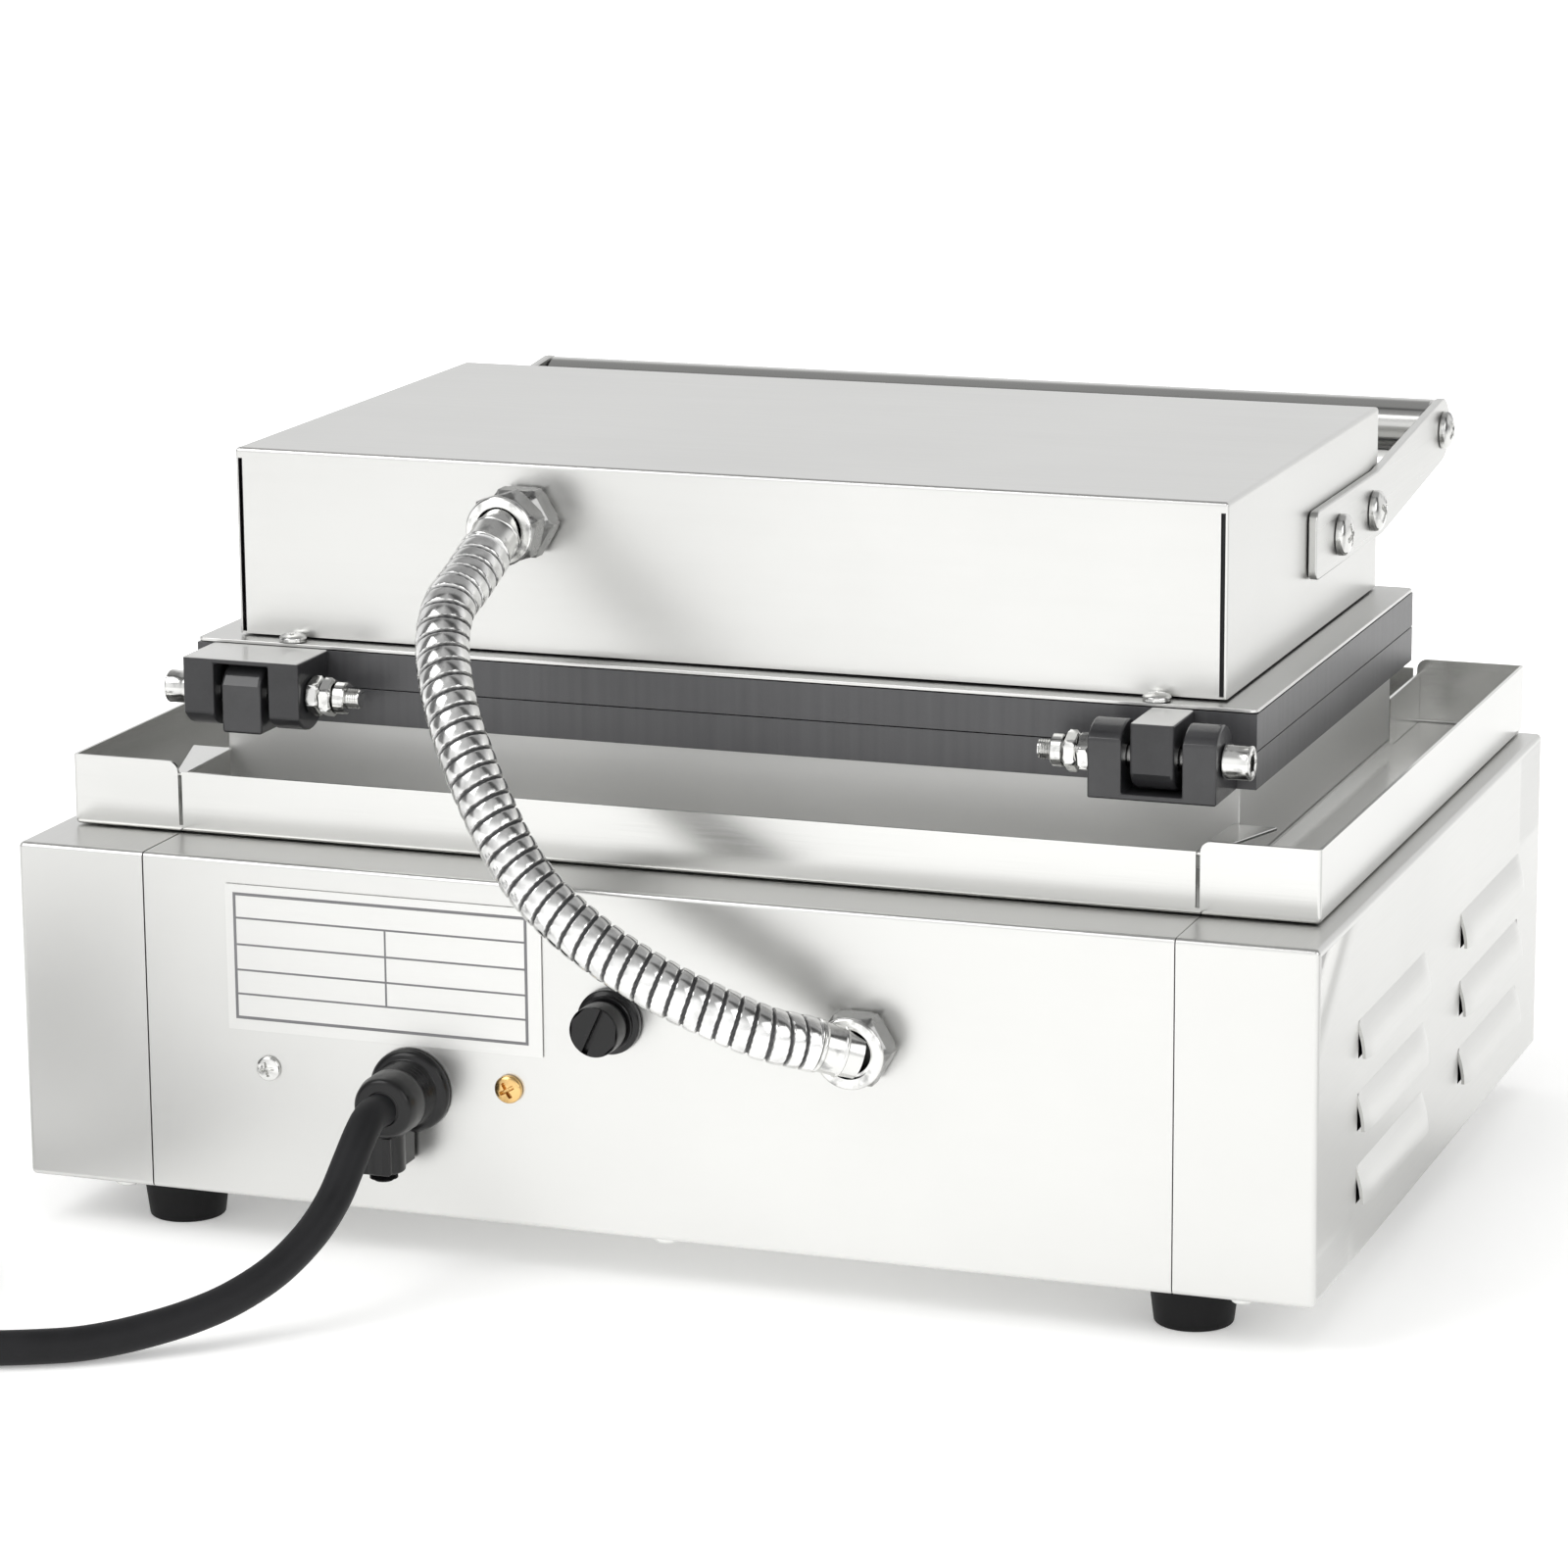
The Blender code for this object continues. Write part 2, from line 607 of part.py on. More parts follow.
def smooth_line(points, spacing, before=None, after=None):
    """Points at an even spacing along a smooth curve; before and after steer its two ends."""
    places = np.array(points)
    first = 2 * places[0] - places[1] if before is None else before
    last = 2 * places[-1] - places[-2] if after is None else after
    padded = np.vstack([first, places, last])
    t = np.linspace(0, 1, 24, endpoint=False)[:, None]
    fine = []
    for back, start, end, ahead in zip(padded, padded[1:], padded[2:], padded[3:]):
        fine.append(0.5 * (2 * start + (end - back) * t + (2 * back - 5 * start + 4 * end - ahead) * t ** 2
                           + (3 * start - back - 3 * end + ahead) * t ** 3))
    fine = np.vstack(fine + [places[-1:]])
    run = np.concatenate([[0], np.cumsum(np.linalg.norm(np.diff(fine, axis=0), axis=1))])
    even = np.linspace(0, run[-1], max(2, round(run[-1] / spacing)) + 1)
    return np.stack([np.interp(even, run, fine[:, axis]) for axis in range(3)], axis=1)


def squared_line(start, start_way, points, end, end_way, straight, spacing):
    """A smooth line whose two ends run straight, square to what they meet."""
    start, end = np.array(start), np.array(end)
    leave, arrive = start + np.array(start_way) * straight, end + np.array(end_way) * straight
    steps = np.linspace(0, 1, max(1, round(straight / spacing)) + 1)[:-1, None]
    middle = smooth_line([leave] + points + [arrive], spacing, start, end)
    return np.vstack([start + (leave - start) * steps, middle, (end + (arrive - end) * steps)[::-1]])


def line_length(points):
    return float(np.linalg.norm(np.diff(points, axis=0), axis=1).sum())


# Side panels: one folded sheet each, with a return at the front and rear and six pressed louvres
def louvre(side, y, z, inside):
    """The convex hood of one louvre, or the hollow inside it."""
    wall = SHEET if inside else 0
    out = HALF_WIDTH + LOUVRE_DEPTH - wall
    back = HALF_WIDTH - (SHEET + OVERRUN if inside else SHEET / 2)
    half = LOUVRE_LENGTH / 2 - wall
    tip = half - LOUVRE_END_SLOPE
    top = z + LOUVRE_HEIGHT / 2 - wall
    low = z - LOUVRE_HEIGHT / 2 - (OVERRUN if inside else 0)
    points = []
    for end in (-1, 1):
        points += [(back, y + end * tip, top), (back, y + end * half, low), (out, y + end * tip, low)]
        points += [(HALF_WIDTH, y + end * half, low), (HALF_WIDTH, y + end * tip, top)]
    return [(side * x, y, z) for x, y, z in points]


def hulls(name, clouds):
    """One mesh of convex bodies, each round its own points."""
    shape = bmesh.new()
    for cloud in clouds:
        corners = [shape.verts.new(point) for point in cloud]
        bmesh.ops.convex_hull(shape, input=corners)
    loose = [corner for corner in shape.verts if not corner.link_faces]
    bmesh.ops.delete(shape, geom=loose, context="VERTS")
    bmesh.ops.recalc_face_normals(shape, faces=shape.faces)
    return from_bmesh(name, shape, None)


def side_panel(name, side):
    panel = box(name, *across(side, (SEAM_X, -HALF_DEPTH, FOOT_HEIGHT), (HALF_WIDTH, HALF_DEPTH, BASE_TOP)),
                STAINLESS)
    round_edge(panel, side * HALF_WIDTH, BASE_TOP, BASE_EDGE_RADIUS)
    hollow = box(name + "_hollow", *across(side, (SEAM_X - OVERRUN, SHEET - HALF_DEPTH, FOOT_HEIGHT + SHEET),
                                           (HALF_WIDTH - SHEET, HALF_DEPTH - SHEET, BASE_TOP - SHEET)))
    round_edge(hollow, side * (HALF_WIDTH - SHEET), BASE_TOP - SHEET, BASE_EDGE_RADIUS - SHEET)
    cut(panel, hollow)
    places = [(share * HALF_DEPTH, FOOT_HEIGHT + LOUVRE_MIDDLE_SHARE * BASE_HEIGHT + row * LOUVRE_ROW_PITCH)
              for share in (LOUVRE_REAR_SHARE, LOUVRE_FRONT_SHARE) for row in (-1, 0, 1)]
    join(panel, hulls(name + "_hoods", [louvre(side, y, z, False) for y, z in places]))
    cut(panel, hulls(name + "_vents", [louvre(side, y, z, True) for y, z in places]))


side_panel("right_side_panel", 1)
side_panel("left_side_panel", -1)


# Front and rear panels: a sheet with a shoulder at the top and a flange underneath
def end_panel(name, side):
    reach = SEAM_X - GAP
    face, inner = side * HALF_DEPTH, side * (HALF_DEPTH - SHEET)
    shoulder = side * (DECK_REACH + GAP)
    flange = side * (HALF_DEPTH - UNDER_FLANGE)
    low, high = FOOT_HEIGHT, BASE_TOP
    section = [(shoulder, high), (face, high), (face, low), (flange, low), (flange, low + SHEET),
               (inner, low + SHEET), (inner, high - SHEET), (shoulder, high - SHEET)]
    return slab(name, section, "X", -reach, reach, STAINLESS)


rear_panel = end_panel("rear_panel", 1)
front_panel = end_panel("front_panel", -1)
box("deck_plate", (GAP - SEAM_X, -DECK_REACH, BASE_TOP - SHEET), (SEAM_X - GAP, DECK_REACH, BASE_TOP),
    STAINLESS)
UNDER_REACH = HALF_DEPTH - UNDER_FLANGE - GAP
box("base_plate", (GAP - SEAM_X, -UNDER_REACH, FOOT_HEIGHT), (SEAM_X - GAP, UNDER_REACH, FOOT_HEIGHT + SHEET),
    STAINLESS)

# Feet: tapered rubber pads
for x_name, x_side in (("right", 1), ("left", -1)):
    for y_name, y_side in (("rear", 1), ("front", -1)):
        x = x_side * (HALF_WIDTH - FOOT_INSET_X)
        y = y_side * (HALF_DEPTH - FOOT_INSET_Y)
        rods(f"{y_name}_{x_name}_foot", [(FOOT_TIP_RADIUS, (x, y, 0), (x, y, FOOT_HEIGHT - GAP),
                                          FOOT_RADIUS)],
             RUBBER)

# Drip tray: channels round the plates, walled off at the corners, in one folded and welded sheet
tray = box("drip_tray", (-TRAY_WIDTH / 2, TRAY_FRONT, TRAY_BOTTOM), (TRAY_WIDTH / 2, TRAY_REAR, TRAY_TOP),
           STAINLESS)
HOUSING_HALF = HOUSING_WIDTH / 2
SEAT_HALF = HOUSING_HALF + GAP
SEAT_FRONT = HOUSING_FRONT - GAP
SEAT_REAR = HOUSING_REAR + GAP
PARTITION_X = SLIT_X + TRAY_SLIT / 2
UPSTAND_TOP = TRAY_FLOOR + TRAY_UPSTAND
LEDGE_TOP = TRAY_TOP - TRAY_LEDGE_DROP
OVER_TOP = TRAY_TOP + OVERRUN
WALL_X = TRAY_WIDTH / 2 - SHEET
RING_X, RING_FRONT, RING_REAR = SEAT_HALF + SHEET, SEAT_FRONT - SHEET, SEAT_REAR + SHEET
pockets = [((-SEAT_HALF, SEAT_FRONT, TRAY_FLOOR), (SEAT_HALF, SEAT_REAR, OVER_TOP)),
           ((-RING_X - OVERRUN, RING_FRONT - OVERRUN, UPSTAND_TOP),
            (RING_X + OVERRUN, RING_REAR + OVERRUN, OVER_TOP)),
           ((-WALL_X, RING_REAR, TRAY_FLOOR), (WALL_X, TRAY_REAR - SHEET, OVER_TOP)),
           ((-WALL_X, TRAY_FRONT + SHEET, TRAY_FLOOR), (WALL_X, RING_FRONT, OVER_TOP))]
for side in (1, -1):
    pockets.append(across(side, (RING_X, TRAY_FRONT + SHEET, TRAY_FLOOR),
                          (WALL_X, TRAY_REAR - SHEET, OVER_TOP)))
cut(tray, blocks("tray_pockets", pockets), overlapping=True)
partitions = []
for side in (1, -1):
    partitions.append(across(side, (PARTITION_X, SEAT_REAR + SHEET / 2, TRAY_BOTTOM + SHEET / 2),
                             (PARTITION_X + SHEET, TRAY_REAR - SHEET / 2, LEDGE_TOP - SHEET / 2)))
    partitions.append(across(side, (PARTITION_X, TRAY_FRONT + SHEET / 2, TRAY_BOTTOM + SHEET / 2),
                             (PARTITION_X + SHEET, SEAT_FRONT - SHEET / 2, LEDGE_TOP - SHEET / 2)))
join(tray, blocks("tray_partitions", partitions))
for side, name in ((1, "right"), (-1, "left")):
    ledge = [(PARTITION_X - TRAY_SLIT / 2, SEAT_REAR + SHEET),
             (PARTITION_X + TRAY_LEDGE_WIDTH, SEAT_REAR + SHEET),
             (PARTITION_X + SHEET, TRAY_REAR - SHEET / 2),
             (PARTITION_X - TRAY_LEDGE_TIP / 2, TRAY_REAR - SHEET / 2)]
    join(tray, slab(f"tray_{name}_ledge", [(side * x, y) for x, y in ledge], "Z", LEDGE_TOP - SHEET,
                    LEDGE_TOP))
slits = []
for side in (1, -1):
    for low_y, high_y in ((TRAY_REAR - SHEET - OVERRUN, TRAY_REAR + OVERRUN),
                          (TRAY_FRONT - OVERRUN, TRAY_FRONT + SHEET + OVERRUN)):
        slits.append(across(side, (SLIT_X - TRAY_SLIT / 2, low_y, TRAY_FLOOR),
                            (SLIT_X + TRAY_SLIT / 2, high_y, OVER_TOP)))
MIDDLE_TOP = TRAY_TOP - TRAY_MIDDLE_DROP
for low_y, high_y in ((TRAY_REAR - SHEET - OVERRUN, TRAY_REAR + OVERRUN),
                      (TRAY_FRONT - OVERRUN, TRAY_FRONT + SHEET + OVERRUN)):
    slits.append(((-SLIT_X, low_y, MIDDLE_TOP), (SLIT_X, high_y, OVER_TOP)))
cut(tray, blocks("tray_slits", slits), overlapping=True)

# Heater housing: the upright sheet walls that carry the lower plate
housing = box("heater_housing", (-HOUSING_HALF, HOUSING_FRONT, TRAY_FLOOR + GAP),
              (HOUSING_HALF, HOUSING_REAR, HOUSING_TOP), STAINLESS)
cut(housing, box("housing_hollow", (SHEET - HOUSING_HALF, HOUSING_FRONT + SHEET, TRAY_FLOOR + GAP - OVERRUN),
                 (HOUSING_HALF - SHEET, HOUSING_REAR - SHEET, HOUSING_TOP + OVERRUN)))


# Waffle plates: a cast rim and body with cavities, stick grooves and pyramids that press the waffle's pockets
def waffle_plate(name, up):
    """The plate whose cavities face up (1) or down (-1)."""
    face = PARTING_Z - up * PLATE_SEAM
    rim_back = face - up * RIM_THICKNESS
    body_back = face - up * BODY_THICKNESS
    half_rim, half_body = PLATE_WIDTH / 2, BODY_WIDTH / 2
    overlap = face - up * RIM_THICKNESS / 2
    plate = box(name, (-half_rim, PLATE_FRONT, min(face, rim_back)),
                (half_rim, PLATE_REAR, max(face, rim_back)),
                COATED)
    join(plate, box(name + "_body", (-half_body, BODY_FRONT, min(overlap, body_back)),
                    (half_body, BODY_REAR, max(overlap, body_back))))
    columns = [(at - (CAVITY_COUNT - 1) / 2) * CAVITY_PITCH for at in range(CAVITY_COUNT)]
    floor = face - up * CAVITY_DEPTH
    past = face + up * OVERRUN
    groove_floor = face - up * STICK_DEPTH
    for at, x in enumerate(columns):
        left, right = x - CAVITY_WIDTH / 2, x + CAVITY_WIDTH / 2
        outline = rounded([(left, CAVITY_FRONT, CAVITY_CORNER), (right, CAVITY_FRONT, CAVITY_CORNER),
                           (right, CAVITY_REAR, CAVITY_CORNER), (left, CAVITY_REAR, CAVITY_CORNER)])
        cut(plate, slab(f"{name}_cavity_{at}", outline, "Z", min(floor, past), max(floor, past)))
    grooves = [((x - STICK_WIDTH / 2, PLATE_FRONT - OVERRUN, min(groove_floor, past)),
                (x + STICK_WIDTH / 2, CAVITY_FRONT + CAVITY_CORNER, max(groove_floor, past)))
               for x in columns]
    cut(plate, blocks(name + "_grooves", grooves))
    teeth = []
    for x in columns:
        for column in range(WAFFLE_COLUMNS):
            for row in range(WAFFLE_ROWS):
                tooth_x = x + (column - (WAFFLE_COLUMNS - 1) / 2) * WAFFLE_PITCH
                tooth_y = CAVITY_MIDDLE_Y + (row - (WAFFLE_ROWS - 1) / 2) * WAFFLE_ROW_PITCH
                teeth.append((WAFFLE_ROOT, (tooth_x, tooth_y, floor - up * SHEET),
                              (tooth_x, tooth_y, floor + up * WAFFLE_HEIGHT), WAFFLE_TIP))
    join(plate, rods(name + "_teeth", teeth, sides=4, turn=math.radians(45)))
    return plate


waffle_plate("lower_waffle_plate", 1)
upper_plate = waffle_plate("upper_waffle_plate", -1)


# Heaters: a tubular element bent back and forth against each plate, and the pan that shields it
def heater(name, up):
    """The element that lies on the back of the plate whose cavities face up (1) or down (-1)."""
    back = PARTING_Z - up * (PLATE_SEAM + BODY_THICKNESS)
    z = back - up * (GAP + HEATER_RADIUS)
    bend = HEATER_PITCH / 2
    points = []
    for run in range(HEATER_RUNS):
        y = CAVITY_MIDDLE_Y + (run - (HEATER_RUNS - 1) / 2) * HEATER_PITCH
        way = 1 if run % 2 == 0 else -1
        end = way * (HEATER_RUN / 2 - bend)
        points += [(-end, y, z), (end, y, z)]
        if run < HEATER_RUNS - 1:
            turn = [(end + way * bend * math.sin(angle), y + bend - bend * math.cos(angle), z)
                    for angle in np.linspace(0, math.pi, 9)[1:-1]]
            points += turn
    element = tube(name, points, HEATER_RADIUS, BRIGHT_STEEL)
    half_x = SHIELD_WIDTH / 2
    near, far = back - up * GAP, back - up * (GAP + SHIELD_HEIGHT)
    front, rear = BODY_FRONT + SHIELD_FRONT_MARGIN, BODY_REAR - SHIELD_REAR_MARGIN
    shield_name = name.replace("heater", "heat_shield")
    shield = box(shield_name, (-half_x, front, min(near, far)), (half_x, rear, max(near, far)), STAINLESS)
    mouth, floor = near + up * OVERRUN, far + up * SHEET
    cut(shield, box(shield_name + "_hollow", (SHEET - half_x, front + SHEET, min(mouth, floor)),
                    (half_x - SHEET, rear - SHEET, max(mouth, floor))))
    return element, shield


heater("lower_heater", 1)
upper_heater, upper_shield = heater("upper_heater", -1)

# Lid flange: the sheet between the upper plate and the cover, open where the plate's body comes through
flange = box("lid_flange", (-PLATE_WIDTH / 2, PLATE_FRONT, FLANGE_BOTTOM),
             (PLATE_WIDTH / 2, PLATE_REAR, FLANGE_TOP),
             STAINLESS)
HOLE_HALF = BODY_WIDTH / 2 + FLANGE_HOLE_GAP
cut(flange, box("flange_hole", (-HOLE_HALF, BODY_FRONT - FLANGE_HOLE_GAP, FLANGE_BOTTOM - OVERRUN),
                (HOLE_HALF, BODY_REAR + FLANGE_HOLE_GAP, FLANGE_TOP + OVERRUN)))
flange_holes = [(FLANGE_SHANK_RADIUS + GAP, (x, FLANGE_SCREW_Y, FLANGE_BOTTOM - OVERRUN),
                 (x, FLANGE_SCREW_Y, FLANGE_TOP + OVERRUN)) for x in (FLANGE_SCREW_X, -FLANGE_SCREW_X)]
cut(flange, rods("flange_screw_holes", flange_holes, sides=SCREW_SIDES))


# Screws with a domed head and a plain shank
def domed_screw(name, place, direction, radius, height, shank_radius, shank_length, material=None):
    """A pan head whose underside is at place, pointing in direction, over a shank."""
    dome = [(radius * math.cos(angle), height * (SCREW_EDGE_SHARE + (1 - SCREW_EDGE_SHARE) * math.sin(angle)))
            for angle in np.linspace(math.pi / 2, 0, 4)]
    profile = [(0, height)] + dome[1:] + [(radius, 0), (shank_radius, 0), (shank_radius, -shank_length),
                                          (0, -shank_length)]
    return turned(name, profile, place, direction, material or BRIGHT_STEEL, SCREW_SIDES)


lid_screws = []
for name, x in (("right", FLANGE_SCREW_X), ("left", -FLANGE_SCREW_X)):
    lid_screws.append(domed_screw(f"{name}_flange_screw", (x, FLANGE_SCREW_Y, FLANGE_TOP + GAP), Z_AXIS,
                                  FLANGE_SCREW_RADIUS, FLANGE_SCREW_HEIGHT, FLANGE_SHANK_RADIUS, SHEET))

# Lid cover: a folded sheet box, open underneath, with an open seam at each rear corner
cover = box("lid_cover", (-LID_HALF, LID_FRONT, LID_BOTTOM), (LID_HALF, LID_REAR, LID_TOP), STAINLESS)
cut(cover, box("cover_hollow", (SHEET - LID_HALF, LID_FRONT + SHEET, LID_BOTTOM - OVERRUN),
               (LID_HALF - SHEET, LID_REAR - SHEET, LID_TOP - SHEET)))
seams = [across(side, (LID_HALF - SHEET - LID_SLOT, LID_REAR - SHEET - OVERRUN, LID_BOTTOM - OVERRUN),
                (LID_HALF - SHEET, LID_REAR + OVERRUN, LID_TOP - SHEET)) for side in (1, -1)]
cut(cover, blocks("cover_seams", seams))
cover_holes = [(ARM_SHANK_RADIUS + GAP, (side * (LID_HALF + OVERRUN), y, ARM_SCREW_Z),
                (side * (LID_HALF - SHEET - OVERRUN), y, ARM_SCREW_Z)) for side in (1, -1)
               for y in ARM_SCREW_YS]
cover_holes.append((FITTING_STUB_RADIUS + GAP, (UPPER_FITTING_X, LID_REAR + OVERRUN, UPPER_FITTING_Z),
                    (UPPER_FITTING_X, LID_REAR - SHEET - OVERRUN, UPPER_FITTING_Z)))
cut(cover, rods("cover_holes", cover_holes, sides=SCREW_SIDES))

# Handle: two flat arms with a cranked nose, and the tube between them
ARM_INNER = LID_HALF + GAP
ARM_OUTER = ARM_INNER + ARM_THICKNESS
NOSE_RISE = math.atan2(GRIP_Z + ARM_END_RADIUS - ARM_TOP_Z, ARM_KINK_TOP_Y - GRIP_Y)
handle = []
for name, side in (("right", 1), ("left", -1)):
    nose = arc((GRIP_Y, GRIP_Z), ARM_END_RADIUS, math.pi / 2 - NOSE_RISE, 3 * math.pi / 2 - NOSE_RISE / 2, 10)
    outline = rounded([(ARM_KINK_LOW_Y, ARM_LOW_Z, 0), (ARM_REAR_Y, ARM_LOW_Z, ARM_CORNER),
                       (ARM_REAR_Y, ARM_TOP_Z, ARM_CORNER), (ARM_KINK_TOP_Y, ARM_TOP_Z, 0)]) + nose
    inner, outer = sorted((side * ARM_INNER, side * ARM_OUTER))
    arm = slab(f"{name}_handle_arm", outline, "X", inner, outer, STAINLESS)
    holes = [(ARM_SHANK_RADIUS + GAP, (side * (ARM_OUTER + OVERRUN), y, z),
              (side * (ARM_INNER - OVERRUN), y, z))
             for y, z in [(y, ARM_SCREW_Z) for y in ARM_SCREW_YS] + [(GRIP_Y, GRIP_Z)]]
    cut(arm, rods(f"{name}_arm_holes", holes, sides=SCREW_SIDES))
    handle.append(arm)
    for place, y in zip(("rear", "front"), ARM_SCREW_YS):
        handle.append(domed_screw(f"{name}_{place}_arm_screw", (side * (ARM_OUTER + GAP), y, ARM_SCREW_Z),
                                  side * X_AXIS, ARM_SCREW_RADIUS, ARM_SCREW_HEIGHT, ARM_SHANK_RADIUS,
                                  ARM_SHANK_LENGTH))
    handle.append(domed_screw(f"{name}_handle_screw", (side * (ARM_OUTER + GAP), GRIP_Y, GRIP_Z),
                              side * X_AXIS,
                              GRIP_SCREW_RADIUS, GRIP_SCREW_HEIGHT, ARM_SHANK_RADIUS, GRIP_SHANK_LENGTH))
grip = rod("handle_tube", GRIP_RADIUS, (-LID_HALF, GRIP_Y, GRIP_Z), (LID_HALF, GRIP_Y, GRIP_Z), STAINLESS)
grip_bores = [(ARM_SHANK_RADIUS + GAP, (side * (LID_HALF + OVERRUN), GRIP_Y, GRIP_Z),
               (side * (LID_HALF - GRIP_SHANK_LENGTH), GRIP_Y, GRIP_Z)) for side in (1, -1)]
cut(grip, rods("grip_bores", grip_bores, sides=SCREW_SIDES))
handle.append(grip)


# Hinges: cast clevises and tongues, a bolt through each pair and nuts at the bolt's inner end
def casting_outline(up, radius):
    """The side view of a hinge casting that hangs from its plate (1) or stands on it (-1), in y and z."""
    front = PLATE_REAR + GAP
    back = HINGE_Y + HINGE_BACK
    first = -math.pi / 2 - math.asin(PLATE_SEAM / radius)
    last = math.asin(HINGE_BACK / radius)
    rear = [(HINGE_Y + math.sin(angle) * radius, PARTING_Z - up * math.cos(angle) * radius)
            for angle in np.linspace(first, last, 12)]
    top = PARTING_Z + up * HINGE_REACH
    return [(front, PARTING_Z + up * PLATE_SEAM)] + rear + [(back, top), (front, top)]


def clevis(name, side, up):
    """Two ears joined by a thin bar and by a web at the plate."""
    inner, outer = sorted((side * (HINGE_X - HINGE_WIDTH / 2), side * (HINGE_X + HINGE_WIDTH / 2)))
    piece = slab(name, casting_outline(up, EAR_RADIUS), "X", inner, outer, IRON)
    half = HINGE_WIDTH / 2 - HINGE_EAR
    bar = PARTING_Z + up * (KNUCKLE_RADIUS + GAP)
    past = PARTING_Z - up * (EAR_RADIUS + OVERRUN)
    web = PARTING_Z + up * PLATE_SEAM
    low_x, high_x, back = side * HINGE_X - half, side * HINGE_X + half, HINGE_Y + HINGE_BACK + OVERRUN
    mouth = [((low_x, HINGE_Y - KNUCKLE_RADIUS - GAP, min(bar, past)), (high_x, back, max(bar, past))),
             ((low_x, PLATE_REAR, min(web, past)), (high_x, back, max(web, past)))]
    cut(piece, blocks(name + "_mouth", mouth), overlapping=True)
    cut(piece, rod(name + "_bore", PIN_RADIUS + GAP, (inner - OVERRUN, HINGE_Y, PARTING_Z),
                   (outer + OVERRUN, HINGE_Y, PARTING_Z)))
    return piece


def tongue(name, side, up):
    """The single knuckle between a clevis's ears."""
    inner, outer = side * HINGE_X - HINGE_TONGUE / 2, side * HINGE_X + HINGE_TONGUE / 2
    piece = slab(name, casting_outline(up, KNUCKLE_RADIUS), "X", inner, outer, IRON)
    cut(piece, rod(name + "_bore", PIN_RADIUS + GAP, (inner - OVERRUN, HINGE_Y, PARTING_Z),
                   (outer + OVERRUN, HINGE_Y, PARTING_Z)))
    return piece


right_clevis = clevis("right_hinge_clevis", 1, 1)
tongue("right_hinge_tongue", 1, -1)
clevis("left_hinge_clevis", -1, -1)
left_tongue = tongue("left_hinge_tongue", -1, 1)


def hinge_rod(name, side, radius, near, far, material=None, sides=ROUND_SIDES, turn=0.0):
    """A rod on the hinge axis between two distances from the machine's middle."""
    return rod(name, radius, (side * near, HINGE_Y, PARTING_Z), (side * far, HINGE_Y, PARTING_Z), material,
               sides, turn)


EAR_OUT = HINGE_X + HINGE_WIDTH / 2 + GAP
EAR_IN = HINGE_X - HINGE_WIDTH / 2 - GAP
HEAD_END = EAR_OUT + BOLT_HEAD_LENGTH
NUT_MIDDLE = EAR_IN - NUT_LENGTH
NUT_END = NUT_MIDDLE - NUT_LENGTH
COLLAR_END = NUT_END - NUT_COLLAR_LENGTH
for name, side in (("right", 1), ("left", -1)):
    bolt = hinge_rod(f"{name}_hinge_bolt", side, PIN_RADIUS, EAR_OUT + SHEET, EAR_IN - BOLT_TAIL,
                     BRIGHT_STEEL)
    join(bolt, hinge_rod(f"{name}_bolt_head", side, BOLT_HEAD_RADIUS, EAR_OUT, HEAD_END))
    cut(bolt, hinge_rod(f"{name}_bolt_socket", side, BOLT_SOCKET_RADIUS, HEAD_END - BOLT_SOCKET_DEPTH,
                        HEAD_END + OVERRUN, sides=6))
    nut = hinge_rod(f"{name}_hinge_nut", side, NUT_RADIUS, EAR_IN, NUT_MIDDLE, BRIGHT_STEEL, sides=6)
    join(nut, hinge_rod(f"{name}_second_nut", side, NUT_RADIUS, NUT_MIDDLE + GAP, NUT_END, sides=6,
                        turn=NUT_TURN))
    join(nut, hinge_rod(f"{name}_nut_collar", side, NUT_COLLAR_RADIUS, NUT_END + GAP, COLLAR_END))
    cut(nut, hinge_rod(f"{name}_nut_bore", side, PIN_RADIUS + GAP, EAR_IN + OVERRUN, COLLAR_END - OVERRUN))


# Conduit fittings: lock nuts against the sheet, a ring and the smooth sleeve that grips the conduit
def conduit_fitting(name, x, wall_y, z, hexes, sleeve):
    """The fitting on a wall that faces +Y; it returns where its sleeve ends and the way the sleeve points."""
    base = wall_y + GAP
    ring_y = base + hexes * FITTING_HEX_LENGTH
    mouth = ring_y + FITTING_RING_LENGTH
    piece = rod(name, FITTING_HEX_RADIUS, (x, base, z), (x, base + FITTING_HEX_LENGTH, z), BRIGHT_STEEL,
                sides=6)
    if hexes > 1:
        join(piece, rod(name + "_front_nut", FITTING_HEX_RADIUS, (x, base + FITTING_HEX_LENGTH - GAP, z),
                        (x, ring_y, z), sides=6, turn=NUT_TURN))
    join(piece, rod(name + "_ring", FITTING_RING_RADIUS, (x, ring_y - GAP, z), (x, mouth, z)))
    join(piece, rod(name + "_stub", FITTING_STUB_RADIUS, (x, wall_y - FITTING_STUB_LENGTH, z),
                    (x, base + GAP, z), sides=SCREW_SIDES))
    root = Vector((x, ring_y, z))
    join(piece, rod(name + "_sleeve", SLEEVE_RADIUS, root, root + Vector(sleeve), sides=SLEEVE_SIDES))
    return piece, root + Vector(sleeve), Vector(sleeve).normalized()


upper_fitting, upper_end, upper_way = conduit_fitting(
    "conduit_upper_fitting", UPPER_FITTING_X, LID_REAR, UPPER_FITTING_Z, 2,
    (UPPER_SLEEVE_X, UPPER_SLEEVE_Y, UPPER_SLEEVE_Z))
_, lower_end, lower_way = conduit_fitting(
    "conduit_lower_fitting", LOWER_FITTING_X, HALF_DEPTH, LOWER_FITTING_Z, 1,
    (LOWER_SLEEVE_X, LOWER_SLEEVE_Y, LOWER_SLEEVE_Z))

